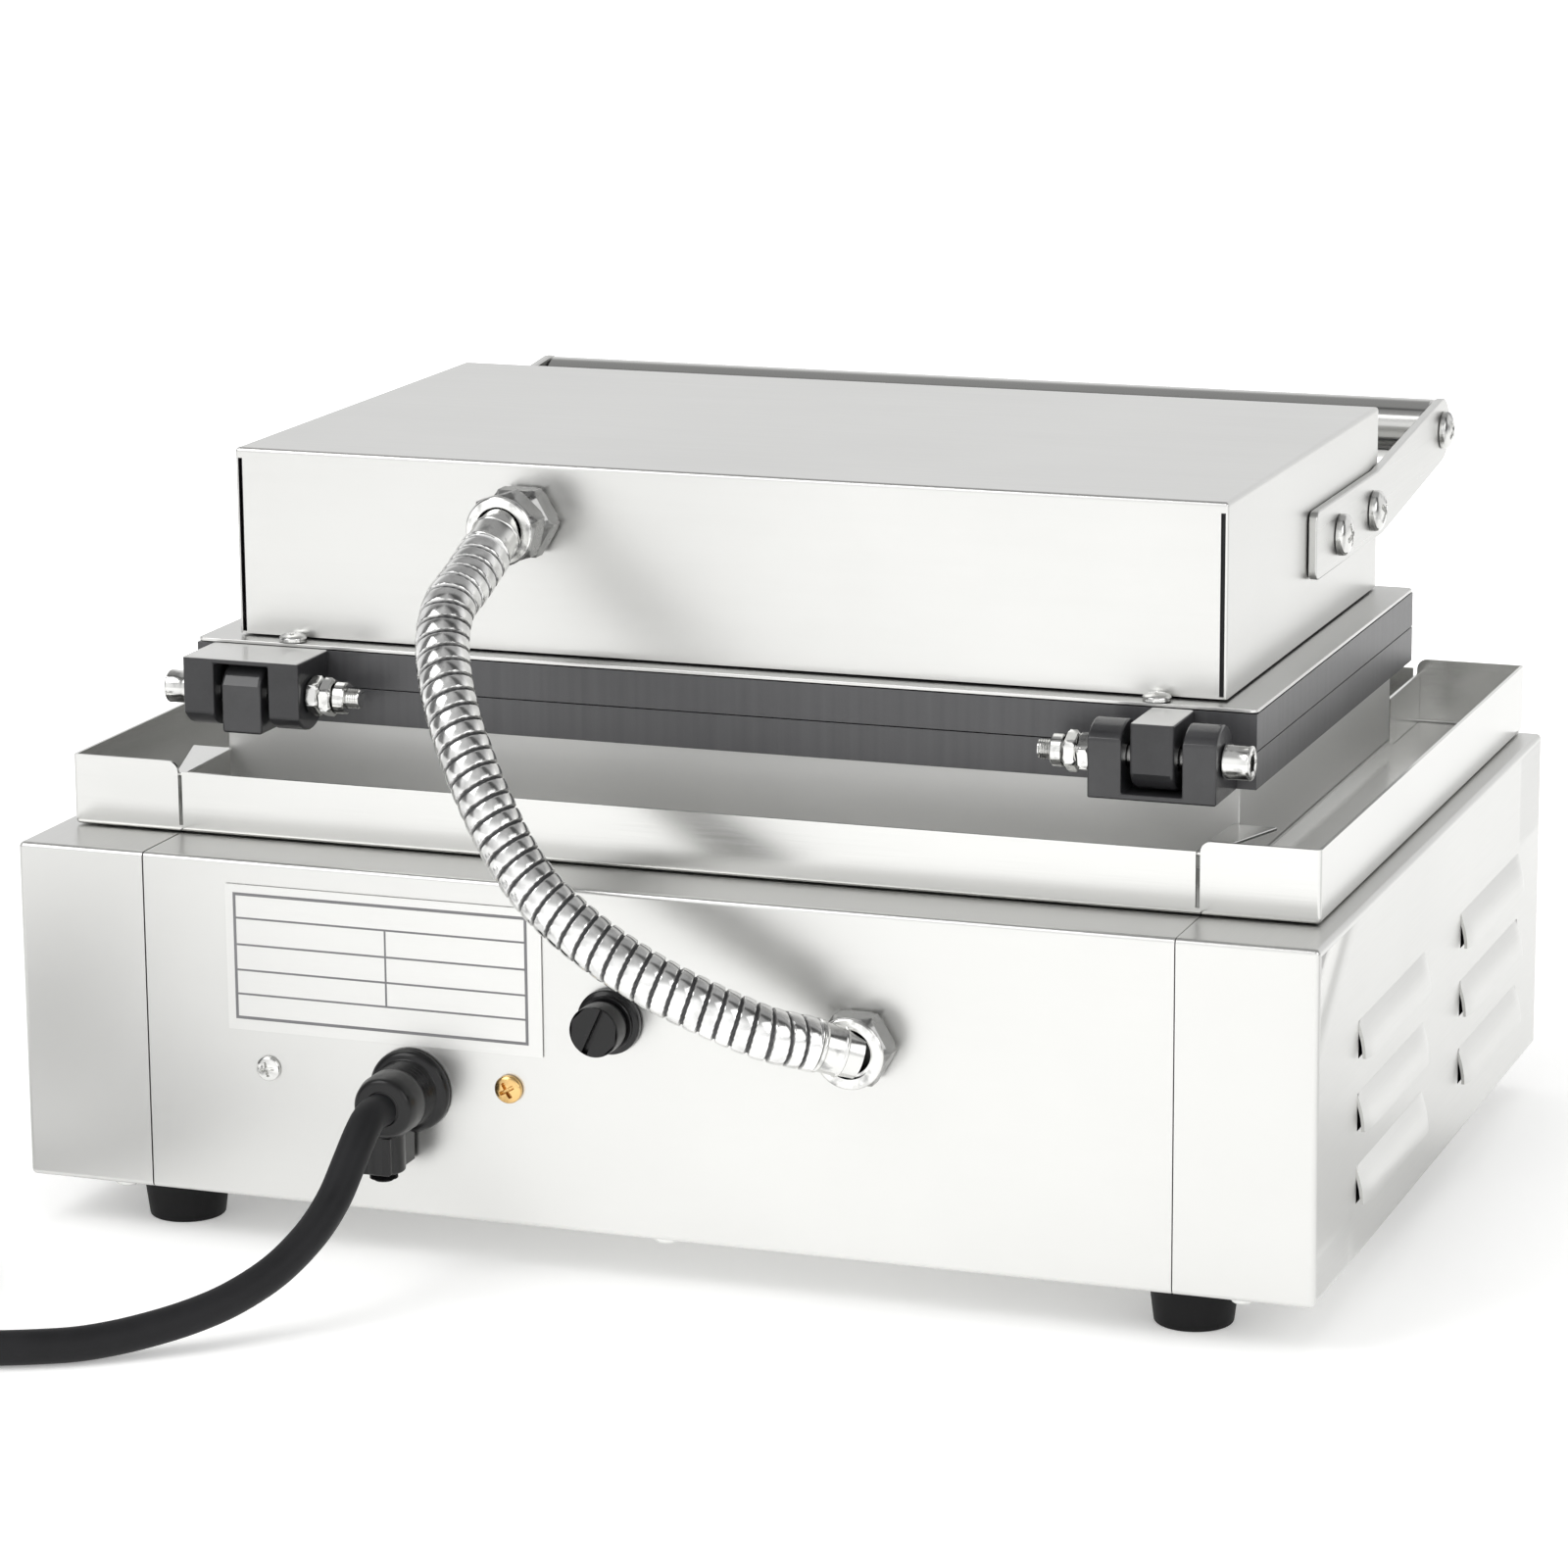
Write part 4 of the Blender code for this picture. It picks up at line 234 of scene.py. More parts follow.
strength = add_node(room, "Mix", {"Factor": straight.outputs[0], 2: strength.outputs[0], 3: 1.0})
backdrop = add_node(room, "Background", {"Color": (1, 1, 1, 1), "Strength": strength.outputs[0]})
add_node(room, "OutputWorld", {"Surface": backdrop.outputs[0]})


def soft_lamp(name, place, size, power):
    """A large square lamp that faces the machine."""
    light = bpy.data.lights.new(name, "AREA")
    light.shape = "SQUARE"
    light.size = size
    light.energy = power
    lamp = bpy.data.objects.new(name, light)
    bpy.context.scene.collection.objects.link(lamp)
    lamp.location = place
    lamp.rotation_euler = (LAMP_TARGET - Vector(place)).to_track_quat("-Z", "Y").to_euler()
    return lamp


soft_lamp("key_lamp", (1.2, 1.4, 1.9), 1.4, 20)
soft_lamp("fill_lamp", (-1.8, 0.9, 1.2), 1.4, 10)
# The top lamp lights the steel without being mirrored in it.
top_lamp = soft_lamp("top_lamp", (0, -0.3, 2.2), 2.0, 12)
top_lamp.visible_glossy = False
bpy.context.scene.view_settings.view_transform = "Standard"


# Cord: 1.84 m of round rubber-sheathed mains lead, 9.5 mm thick, from the gland to its plug.
# It falls from the gland to the table, runs out of view and lies there in two layers of loops.
CORD_RADIUS = 0.00475
CORD_STRAIGHT = 0.007
GLAND_MOUTH = Vector((0.0696, 0.1573, 0.0506))
CORD_ROUTE = [
    (0.0699, 0.1705, 0.0470), (0.0707, 0.1770, 0.0405), (0.0716, 0.1840, 0.0336), (0.0735, 0.1910, 0.0276),
    (0.0762, 0.1975, 0.0228), (0.0798, 0.2042, 0.0184), (0.0845, 0.2102, 0.0147), (0.0905, 0.2165, 0.0113),
    (0.0975, 0.2235, 0.0088), (0.1050, 0.2302, 0.0070), (0.1128, 0.2366, 0.0057), (0.1210, 0.2426, 0.0050),
    (0.1300, 0.2476, 0.0049), (0.1392, 0.2518, 0.0049), (0.1550, 0.2582, 0.0049), (0.1700, 0.2654, 0.0049),
    (0.1850, 0.2722, 0.0049)]
COIL_MIDDLE = Vector((0.2380, 0.2260, 0.0049))
COIL_RADIUS = 0.0630
COIL_PITCH = 0.0101
COIL_LAYER_RISE = 0.0102
COIL_TURNS_A_LAYER = 2.25
COIL_START = math.radians(111)
LOOP_POINTS = 24
CORD_SIDES = 24
TAIL_LENGTH = 0.036
TAIL_TOP = 0.0188


def run_along(line):
    """The distance along a line to each of its points."""
    return np.concatenate([[0], np.cumsum(np.linalg.norm(np.diff(line, axis=0), axis=1))])


def curve_through(points, spacing, steps=40):
    """Evenly spaced points on a Catmull-Rom curve: cubics through points, along their neighbours' chords."""
    places = np.asarray([tuple(point) for point in points], float)
    padded = np.vstack([2 * places[0] - places[1], places, 2 * places[-1] - places[-2]])
    before, start, end, after = (padded[at:at + len(places) - 1, None] for at in range(4))
    t = np.linspace(0, 1, steps, endpoint=False)[None, :, None]
    fine = 0.5 * (2 * start + (end - before) * t + (2 * before - 5 * start + 4 * end - after) * t ** 2
                  + (3 * start - before - 3 * end + after) * t ** 3)
    fine = np.vstack([fine.reshape(-1, 3), places[-1:]])
    run = run_along(fine)
    even = np.linspace(0, run[-1], round(run[-1] / spacing) + 1)
    return np.stack([np.interp(even, run, fine[:, axis]) for axis in range(3)], axis=1)


def carried_frames(line):
    """Two normals at each point of a line, square to its tangent and carried along it without twisting."""
    tangents = np.gradient(line, axis=0)
    tangents /= np.linalg.norm(tangents, axis=1)[:, None]
    aside = np.cross(tangents[0], (0.0, 0.0, 1.0))
    sides = [aside / np.linalg.norm(aside)]
    for tangent in tangents[1:]:
        aside = sides[-1] - tangent * (sides[-1] @ tangent)
        sides.append(aside / np.linalg.norm(aside))
    sides = np.array(sides)
    return sides, np.cross(tangents, sides)


def tube_points(line, radii, sides):
    """Points round a line: line + radius (cos a side + sin a normal), for angles a.
    radii is one number, or a table [row, angle]."""
    sideways, normals = carried_frames(line)
    angles = np.linspace(0, math.tau, sides, endpoint=False)
    radii = np.ones((len(line), sides)) * radii
    return line[:, None] + radii[..., None] * (np.cos(angles)[None, :, None] * sideways[:, None]
                                               + np.sin(angles)[None, :, None] * normals[:, None])


def moulded_material(name, dark, light, roughness, grain_mm, depth_mm, coat=0.0):
    """A moulded, cast or extruded stuff: two close colours in clouds about 17 mm wide, and a fine grain.
    The grain's size and depth are given in millimetres."""
    material, tree = start_material(name)
    place = add_node(tree, "TexCoord").outputs["Object"]
    cloud = add_node(tree, "TexNoise", {"Vector": place, "Scale": 60.0, "Detail": 5.0, "Roughness": 0.6})
    colour = add_node(tree, "ValToRGB", {"Fac": cloud.outputs["Fac"]})
    colour.color_ramp.elements[0].position = 0.3
    colour.color_ramp.elements[0].color = linear(dark)
    colour.color_ramp.elements[1].position = 0.7
    colour.color_ramp.elements[1].color = linear(light)
    grain = add_node(tree, "TexNoise", {"Vector": place, "Scale": 1000.0 / grain_mm, "Detail": 2.0})
    bump = add_node(tree, "Bump", {"Height": grain.outputs["Fac"], "Strength": 0.5,
                                   "Distance": depth_mm / 1000})
    rough = add_node(tree, "MapRange", {"Value": cloud.outputs["Fac"], "From Min": 0.3, "From Max": 0.7,
                                        "To Min": roughness - 0.06, "To Max": roughness + 0.06})
    shader = add_node(tree, "BsdfPrincipled", {
        "Base Color": colour.outputs["Color"], "Roughness": rough.outputs[0], "Normal": bump.outputs[0],
        "Specular IOR Level": 0.22, "Coat Weight": coat, "Coat Roughness": 0.15})
    add_node(tree, "OutputMaterial", {"Surface": shader.outputs[0]})
    return material


def fit(piece, body, slot, *replaced):
    """Hangs a piece on its body and lets it stand for its plain solids, which it hides; its slot is not used.
    """
    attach(piece, body)
    if replaced:
        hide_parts(*replaced)
    return piece


# Extruded rubber: dark grey, matt with a faint sheen where it was handled.
sheath = moulded_material("extruded_black_rubber", "#151517", "#202022", 0.54, 0.5, 0.04)
layer = np.linspace(0, COIL_TURNS_A_LAYER * math.tau, round(COIL_TURNS_A_LAYER * LOOP_POINTS) + 1)
half_turn = np.linspace(0, math.pi, LOOP_POINTS // 2 + 1)[1:-1]
share = half_turn / math.pi
inner_radius = COIL_RADIUS - COIL_PITCH * COIL_TURNS_A_LAYER
turn = COIL_START - np.concatenate([layer, layer[-1] + half_turn, layer[-1] + math.pi + layer])
radius = np.concatenate([COIL_RADIUS - COIL_PITCH * layer / math.tau,
                         inner_radius - COIL_PITCH * (1 - np.abs(2 * share - 1)) / 4,
                         inner_radius + COIL_PITCH * layer / math.tau])
rise = np.concatenate([0 * layer, COIL_LAYER_RISE * (3 - 2 * share) * share ** 2,
                       0 * layer + COIL_LAYER_RISE])
coil = np.stack([radius * np.cos(turn), radius * np.sin(turn), rise], axis=1) + np.array(COIL_MIDDLE)
entry_way = (coil[0] - coil[1]) / np.linalg.norm(coil[0] - coil[1])
leave_way = coil[-1] - coil[-2]
leave_way[2] = 0
leave_way /= np.linalg.norm(leave_way)
tail_share = np.array([[0.25], [0.5], [0.75], [1.0]])
tail = (coil[-1] + leave_way * tail_share * (TAIL_LENGTH - 2 * CORD_RADIUS)
        + np.array([0, 0, TAIL_TOP - coil[-1, 2]]) * (3 - 2 * tail_share) * tail_share ** 2)
tail_end = tail[-1] + leave_way * 2 * CORD_RADIUS
first_straight = GLAND_MOUTH + Vector((0, CORD_STRAIGHT, 0))
cord_line = curve_through([GLAND_MOUTH, first_straight, *CORD_ROUTE, coil[0] + entry_way * CORD_RADIUS,
                           *coil, *tail, tail_end], CORD_RADIUS / 2)
cord_skin = grid_patch(tube_points(cord_line, CORD_RADIUS, CORD_SIDES), caps=(0, -1))
cord = surface_piece("mains_cord", [cord_skin], sheath)
fit(cord, "base", "black_rubber", "cord_lead", "cord_coil")
# The stored coil lies out of the picture, so the steel doesn't mirror the cord.
cord.visible_glossy = False


# Plug: a moulded two-pin mains plug with a ribbed grip and a long neck that keeps the lead from kinking.
# One rubber moulding over two round plated pins, it lies on the table at the coil's tail.
PLUG_GAP = 0.0003
PIN_RADIUS = 0.0024
PIN_LENGTH = 0.019
PIN_EDGE = 0.0012
PIN_SPACING = 0.019
PIN_START = 0.0495


def axis_frame(way):
    """An axis's unit vector and two more, square to it and to each other. An upright axis takes X first."""
    way = np.array(Vector(way).normalized())
    across = np.cross((0.0, 0.0, 1.0), way) if abs(way[2]) < 0.9 else np.array((1.0, 0.0, 0.0))
    across /= np.linalg.norm(across)
    return way, across, np.cross(way, across)


def spun(rows, place, way, sides=48, turn=0.0, caps=()):
    """A profile turned round an axis: point = place + radius (cos a across + sin a up) + height way.
    A row is (radius, height), or (radius, height, corners, clip): corners makes it a polygon, whose radius is
    cos(pi / n) / cos(a within its side - pi / n) of the corner's, and clip trims its corners to a circle."""
    table = np.array([(*row, *(0, math.inf)[len(row) - 2:]) for row in rows], float)
    angles = np.linspace(0, math.tau, sides, endpoint=False)[None]
    half_side = math.pi / np.maximum(table[:, 2, None], 3)
    polygon = np.cos(half_side) / np.cos(angles % (2 * half_side) - half_side)
    radii = np.minimum(table[:, :1] * np.where(table[:, 2, None] > 0, polygon, 1), table[:, 3, None])
    way, across, up = axis_frame(way)
    points = (np.array(place, float) + (radii * np.cos(angles + turn))[..., None] * across
              + (radii * np.sin(angles + turn))[..., None] * up + table[:, 1, None, None] * way)
    return grid_patch(points, caps=caps)


def arc_rows(radius, height, bend, start, end, steps=5):
    """Profile rows along an arc: (radius + bend cos a, height + bend sin a) for angles in degrees."""
    angles = np.radians(np.linspace(start, end, steps))
    return [(radius + bend * math.cos(angle), height + bend * math.sin(angle)) for angle in angles]


def plated_steel(name, colour, roughness, smut="#8C8C8C"):
    """An unplated or plated metal: it mirrors the room, more softly in the faint clouds where it has dulled.
    """
    material, tree = start_material(name)
    place = add_node(tree, "TexCoord").outputs["Object"]
    cloud = add_node(tree, "TexNoise", {"Vector": place, "Scale": 220.0, "Detail": 4.0})
    tint = add_node(tree, "ValToRGB", {"Fac": cloud.outputs["Fac"]})
    tint.color_ramp.elements[0].position = 0.25
    tint.color_ramp.elements[0].color = linear(smut)
    tint.color_ramp.elements[1].position = 0.45
    tint.color_ramp.elements[1].color = linear(colour)
    rough = add_node(tree, "MapRange", {"Value": cloud.outputs["Fac"], "To Min": roughness * 1.6,
                                        "To Max": roughness * 0.6})
    shader = add_node(tree, "BsdfPrincipled", {
        "Base Color": tint.outputs["Color"], "Metallic": 1.0, "Roughness": rough.outputs[0]})
    add_node(tree, "OutputMaterial", {"Surface": shader.outputs[0]})
    return material


# Nickel-plated steel of the pins, nuts, screws and bolts: a clear mirror, very slightly warm.
nickel = plated_steel("bright_nickel_plated_steel", "#D6D6D4", 0.16)
plug_root = tail_end + leave_way * PLUG_GAP
collars = [row for at in range(4) for row in ((0.0072, 0.0005 + 0.003 * at), (0.0072, 0.0020 + 0.003 * at),
                                              (0.0062, 0.0024 + 0.003 * at), (0.0062, 0.0031 + 0.003 * at))]
grip_ribs = [(0.0125 - 0.0009 * (at % 2), 0.0155 + 0.0016 * at) for at in range(9)]
plug_rows = [(0.0, 0.0), (0.0062, 0.0), *collars, (0.0085, 0.0142), (0.0118, 0.0150), *grip_ribs,
             (0.0125, 0.0300), (0.0150, 0.0350), *arc_rows(0.0170, 0.0410, 0.0015, -60, 0, 4),
             *arc_rows(0.0170, 0.0482, 0.0015, 0, 90), (0.0160, 0.0497), (0.0, 0.0497)]
# Moulded rubber: dark grey, and a little glossier than the cord's sheath.
plug = surface_piece("moulded_plug", [spun(plug_rows, plug_root, leave_way, sides=64)],
                     moulded_material("moulded_black_rubber", "#272729", "#353537", 0.45, 0.4, 0.03))
fit(plug, "base", "black_rubber", "power_plug")
pin_side = np.cross(leave_way, (0, 0, 1)) * PIN_SPACING / 2
pin_rows = [(0.0, 0.0), (PIN_RADIUS * 0.96, 0.0), (PIN_RADIUS * 0.96, 0.008), (PIN_RADIUS, 0.0082),
            (PIN_RADIUS, PIN_LENGTH - PIN_EDGE),
            *arc_rows(PIN_RADIUS - PIN_EDGE, PIN_LENGTH - PIN_EDGE, PIN_EDGE, 15, 90), (0.0, PIN_LENGTH)]
pin_root = plug_root + leave_way * PIN_START
plug_pins = surface_piece("plug_pins", [spun(pin_rows, pin_root + pin_side * side, leave_way)
                                        for side in (-1, 1)], nickel)
fit(plug_pins, "base", "bright_steel", "power_plug")


# Coil tie: a strip of black woven hook-and-loop tape round both layers of the stored cord.
# A flat loop 15 mm wide, drawn snug round the turns.
TIE_WIDTH = 0.015
TIE_WALL = 0.0004
TIE_ANGLE = math.radians(-35)
TIE_POINTS = 64
TIE_POWER = 6
tie_out = np.array((math.cos(TIE_ANGLE), math.sin(TIE_ANGLE), 0))
tie_way = np.array((-math.sin(TIE_ANGLE), math.cos(TIE_ANGLE), 0))
tie_low, tie_high = TIE_WALL, COIL_LAYER_RISE + COIL_MIDDLE.z + CORD_RADIUS + TIE_WALL
tie_half = (COIL_RADIUS - inner_radius) / 2 + CORD_RADIUS + 2 * TIE_WALL
loop_angles = np.linspace(0, math.tau, TIE_POINTS, endpoint=False)
# The loop is a squared circle: its radius is (|cos a| ** 6 + |sin a| ** 6) ** (-1 / 6).
squareness = (np.abs(np.cos(loop_angles)) ** TIE_POWER
              + np.abs(np.sin(loop_angles)) ** TIE_POWER) ** (-1 / TIE_POWER)
tie_middle = (COIL_RADIUS + inner_radius) / 2
tie_loop = (tie_out * (tie_half * squareness * np.cos(loop_angles) + tie_middle)[:, None]
            + np.array((0, 0, (tie_high - tie_low) / 2)) * (squareness * np.sin(loop_angles))[:, None]
            + (COIL_MIDDLE.x, COIL_MIDDLE.y, (tie_high + tie_low) / 2))
tie_rows = [tie_loop + tie_way * TIE_WIDTH * at for at in (-0.5, 0.5)]
# Woven tape: dark and dull, because the weave breaks up the light.
tie = surface_piece("coil_tie", [grid_patch(np.stack(tie_rows), flip=True)],
                    moulded_material("woven_black_nylon_tape", "#1E1E1F", "#343435", 0.8, 0.7, 0.2))
tape = tie.modifiers.new("tape", "SOLIDIFY")
tape.thickness = TIE_WALL
tape.offset = 0
fit(tie, "base", "black_rubber")


# Base sides: one folded sheet each, 1 mm satin stainless, with a return at the front, rear, top and bottom.
# Six louvres are lanced and pressed out of each, with their mouths down and their ends open.
HALF_WIDTH = 0.190
HALF_DEPTH = 0.136
BASE_LOW = 0.014
BASE_TOP = 0.1125
SEAM_X = 0.151
WALL = 0.001
FOLD_RADIUS = 0.0015
FOLD_STEPS = 4
GUARD = 0.0006
LOUVRE_LENGTH = 0.076
LOUVRE_HEIGHT = 0.0105
LOUVRE_OUT = 0.0032
LOUVRE_YS = (0.054, -0.0675)
LOUVRE_ZS = (0.0355, 0.0560, 0.0765)
LOUVRE_END_DROP = 0.35
LOUVRE_END_POWER = 14
GRIT_ACROSS = 2500.0
GRIT_ALONG = 25.0


def satin_stainless(name, along, colour="#D2D2D0", roughness=0.32):
    """Rolled stainless sheet with a satin finish: fine grit lines along one axis, a noise stretched 100 to 1.
    Real grit lines are about 0.05 mm apart; these are drawn 0.4 mm apart, so that they show."""
    material, tree = start_material(name)
    place = add_node(tree, "TexCoord").outputs["Object"]
    stretch = [GRIT_ACROSS] * 3
    stretch["XYZ".index(along)] = GRIT_ALONG
    grit = add_node(tree, "TexNoise", {
        "Vector": add_node(tree, "Mapping", {"Vector": place, "Scale": stretch}).outputs[0],
        "Scale": 1.0, "Detail": 3.0, "Roughness": 0.6})
    cloud = add_node(tree, "TexNoise", {"Vector": place, "Scale": 9.0, "Detail": 3.0})
    tint = add_node(tree, "ValToRGB", {"Fac": cloud.outputs["Fac"]})
    tint.color_ramp.elements[0].position = 0.3
    tint.color_ramp.elements[0].color = [channel * 0.95 for channel in linear(colour)[:3]] + [1.0]
    tint.color_ramp.elements[1].position = 0.65
    tint.color_ramp.elements[1].color = linear(colour)
    rough = add_node(tree, "MapRange", {"Value": grit.outputs["Fac"], "From Min": 0.3, "From Max": 0.7,
                                        "To Min": roughness - 0.03, "To Max": roughness + 0.03})
    bump = add_node(tree, "Bump", {"Height": grit.outputs["Fac"], "Strength": 0.05, "Distance": 0.00002})
    shader = add_node(tree, "BsdfPrincipled", {
        "Base Color": tint.outputs["Color"], "Metallic": 1.0, "Roughness": rough.outputs[0],
        "Normal": bump.outputs[0]})
    add_node(tree, "OutputMaterial", {"Surface": shader.outputs[0]})
    return material


def finish_sheet(piece, wall=WALL, edge=0.00022):
    """Gives a surface its wall, inwards, eases its cut edges and keeps the flat faces' shading flat."""
    if wall:
        gauge = piece.modifiers.new("gauge", "SOLIDIFY")
        gauge.thickness = wall
        gauge.offset = -1
        gauge.use_even_offset = True
    ease = piece.modifiers.new("eased_edges", "BEVEL")
    ease.width = edge
    ease.segments = 2
    ease.limit_method = "ANGLE"
    ease.angle_limit = math.radians(50)
    piece.modifiers.new("flat_faces", "WEIGHTED_NORMAL").keep_sharp = True
    return piece


def loop_stations(low, high, corner, stops=()):
    """Stations round a rectangle whose corners are rounded: base points, outward ways and corner signs.
    stops lists (x, y sign) for more stations on the two long sides."""
    middle, half = (np.array(low) + high) / 2, (np.array(high) - low) / 2
    base, ways, signs = [], [], []
    for at, sign in enumerate(((1, 1), (-1, 1), (-1, -1), (1, -1))):
        angles = np.linspace(at, at + 1, FOLD_STEPS + 1) * math.pi / 2
        base.append(np.tile(middle + sign * (half - corner), (FOLD_STEPS + 1, 1)))
        ways.append(np.stack([np.cos(angles), np.sin(angles)], axis=1))
        signs.append(np.tile(sign, (FOLD_STEPS + 1, 1)))
        between = sorted([x for x, side in stops if side == sign[1]], reverse=sign[1] > 0)
        if at in (0, 2) and between:
            base.append(np.array([(x, middle[1] + sign[1] * (half[1] - corner)) for x in between]))
            ways.append(np.tile((0, sign[1]), (len(between), 1)))
            signs.append(np.tile((0, sign[1]), (len(between), 1)))
    return np.vstack(base), np.vstack(ways), np.vstack(signs), corner, np.array(low), np.array(high)


def inset_loop(stations, inset):
    """The loop moved in: base + way (corner - inset) while that is positive, then straight in by signs."""
    base, ways, signs, corner, low, high = stations
    moved = base + ways * max(corner - inset, 0) - signs * max(inset - corner, 0)
    return np.clip(moved, low + inset, high - inset)


def lifted(loop, height):
    """A flat loop of (a, b) points given one height, or one for each point."""
    return np.column_stack([loop, np.ones(len(loop)) * height])


def fold_rows(stations, edge, radius, inward):
    """Loops round a quarter fold whose outer face ends at edge.
    Their inset is radius (1 - cos a) and their height is edge - radius (1 - sin a)."""
    angles = np.linspace(0, math.pi / 2, FOLD_STEPS + 1)
    return [lifted(inset_loop(stations, radius * (1 - math.cos(angle))),
                   edge - inward * radius * (1 - math.sin(angle))) for angle in angles]


def side_shell(side):
    """The side's patches: a frame of returns, a wall with six openings, and a louvre over each.
    They are drawn in (y, z, out) and then turned to (x, y, z)."""
    stations = loop_stations((-HALF_DEPTH, BASE_LOW), (HALF_DEPTH, BASE_TOP), FOLD_RADIUS * 1.02)
    rows = [lifted(inset_loop(stations, 0), SEAM_X), *fold_rows(stations, HALF_WIDTH, FOLD_RADIUS, 1),
            lifted(inset_loop(stations, FOLD_RADIUS + GUARD), HALF_WIDTH)]
    patches = [grid_patch(np.stack(rows), flip=side < 0)]
    edge = FOLD_RADIUS + GUARD
    half = LOUVRE_LENGTH / 2
    ys = np.array([-HALF_DEPTH + edge, *[y + step for y in LOUVRE_YS[::-1] for step in (-half, half)],
                   HALF_DEPTH - edge])
    zs = np.array([BASE_LOW + edge, *[z + step * LOUVRE_HEIGHT / 2 for z in LOUVRE_ZS for step in (-1, 1)],
                   BASE_TOP - edge])
    y, z = np.meshgrid(ys, zs, indexing="xy")
    openings = np.zeros((len(zs) - 1, len(ys) - 1), bool)
    openings[1::2, 1::2] = True
    patches.append(grid_patch(np.stack([y, z, 0 * y + HALF_WIDTH], axis=-1), ring=False, flip=side < 0,
                              left_out=openings))
    down = np.linspace(0, 1, 9)[:, None]
    along = np.linspace(-1, 1, 33)[None]
    for middle_y in LOUVRE_YS:
        for middle_z in LOUVRE_ZS:
            out = (LOUVRE_OUT * np.sin(down * math.pi / 2)
                   * (1 - LOUVRE_END_DROP * np.abs(along) ** LOUVRE_END_POWER))
            y = middle_y + half * along + 0 * down
            z = middle_z + LOUVRE_HEIGHT * (0.5 - down) + 0 * along
            patches.append(grid_patch(np.stack([y, z, HALF_WIDTH + out], axis=-1), ring=False,
                                      flip=side > 0))
    return [(points[:, [2, 0, 1]] * (side, 1, 1), faces) for points, faces in patches]


# Satin sheet, its grit along Y on the sides and along X elsewhere: a soft, blurred mirror of the room.
satin_y = satin_stainless("satin_stainless_sheet_y", "Y")
satin_x = satin_stainless("satin_stainless_sheet_x", "X")
for side, hand in ((1, "right"), (-1, "left")):
    panel = surface_piece(f"{hand}_side_sheet", side_shell(side), satin_y)
    fit(finish_sheet(panel), "base", "stainless", f"{hand}_side_panel")


# Rear and front of the base: a sheet folded to a shoulder above and a flange below, screwed to the sides.
# The deck and the bottom are plain sheets between them.
DECK_REACH = 0.112
UNDER_FLANGE = 0.016
SEAM_GAP = 0.0003
BEND_STEPS = 5


def bent_line(corners, radius):
    """A polyline whose inner corners are arcs: middle + (corner - arrive) cos a + (corner - leave) sin a.
    An arc leaves and arrives a radius from its corner, and its middle is leave + arrive - corner."""
    corners = np.array(corners, float)
    line = [corners[:1]]
    spread = np.linspace(0, 1, BEND_STEPS + 1)[:, None] * math.pi / 2
    for before, corner, after in zip(corners, corners[1:], corners[2:]):
        leave = corner + (before - corner) / np.linalg.norm(before - corner) * radius
        arrive = corner + (after - corner) / np.linalg.norm(after - corner) * radius
        middle = leave + arrive - corner
        line.append(middle + (corner - arrive) * np.cos(spread) + (corner - leave) * np.sin(spread))
    return np.vstack(line + [corners[-1:]])


for side, hand in ((1, "rear"), (-1, "front")):
    section = bent_line([(DECK_REACH + SEAM_GAP, BASE_TOP), (HALF_DEPTH, BASE_TOP), (HALF_DEPTH, BASE_LOW),
                         (HALF_DEPTH - UNDER_FLANGE, BASE_LOW)], FOLD_RADIUS)
    reach = SEAM_X - SEAM_GAP
    sweep = np.stack([np.column_stack([np.full(len(section), x), side * section[:, 0], section[:, 1]])
                      for x in (-reach, reach)])
    sheet = surface_piece(f"{hand}_sheet", [grid_patch(sweep, ring=False, flip=side > 0)], satin_x)
    fit(finish_sheet(sheet), "base", "stainless", f"{hand}_panel")


def coat_solids(material, *names):
    """Gives plain solids, which keep their own shape, their material."""
    for name in names:
        nodes[name].data.materials.clear()
        nodes[name].data.materials.append(material)


coat_solids(satin_x, "deck_plate", "base_plate")


# Feet: four round rubber pads, moulded with a slight taper and a rounded tread edge.
# Each stands 39 mm in from the side of the base and 22 mm in from its front or rear.
FOOT_XY = (0.151, 0.114)
FOOT_ROWS = [(0.0, 0.0), (0.0050, 0.0), (0.0050, 0.0006), (0.0075, 0.0006), (0.0075, 0.0), (0.0102, 0.0),
             *arc_rows(0.0102, 0.0008, 0.0008, -60, 0, 4), (0.01235, 0.0115),
             *arc_rows(0.0117, 0.0127, 0.0008, 0, 90, 4), (0.0, 0.0135)]
# Foot rubber: nearly black and matt.
foot_rubber = moulded_material("moulded_black_foot_rubber", "#0D0D0E", "#151516", 0.62, 0.5, 0.05)
for x_side, x_hand in ((1, "right"), (-1, "left")):
    for y_side, y_hand in ((1, "rear"), (-1, "front")):
        pad = surface_piece(f"{y_hand}_{x_hand}_pad", [
            spun(FOOT_ROWS, (x_side * FOOT_XY[0], y_side * FOOT_XY[1], 0), (0, 0, 1))], foot_rubber)
        fit(pad, "base", "black_rubber", f"{y_hand}_{x_hand}_foot")


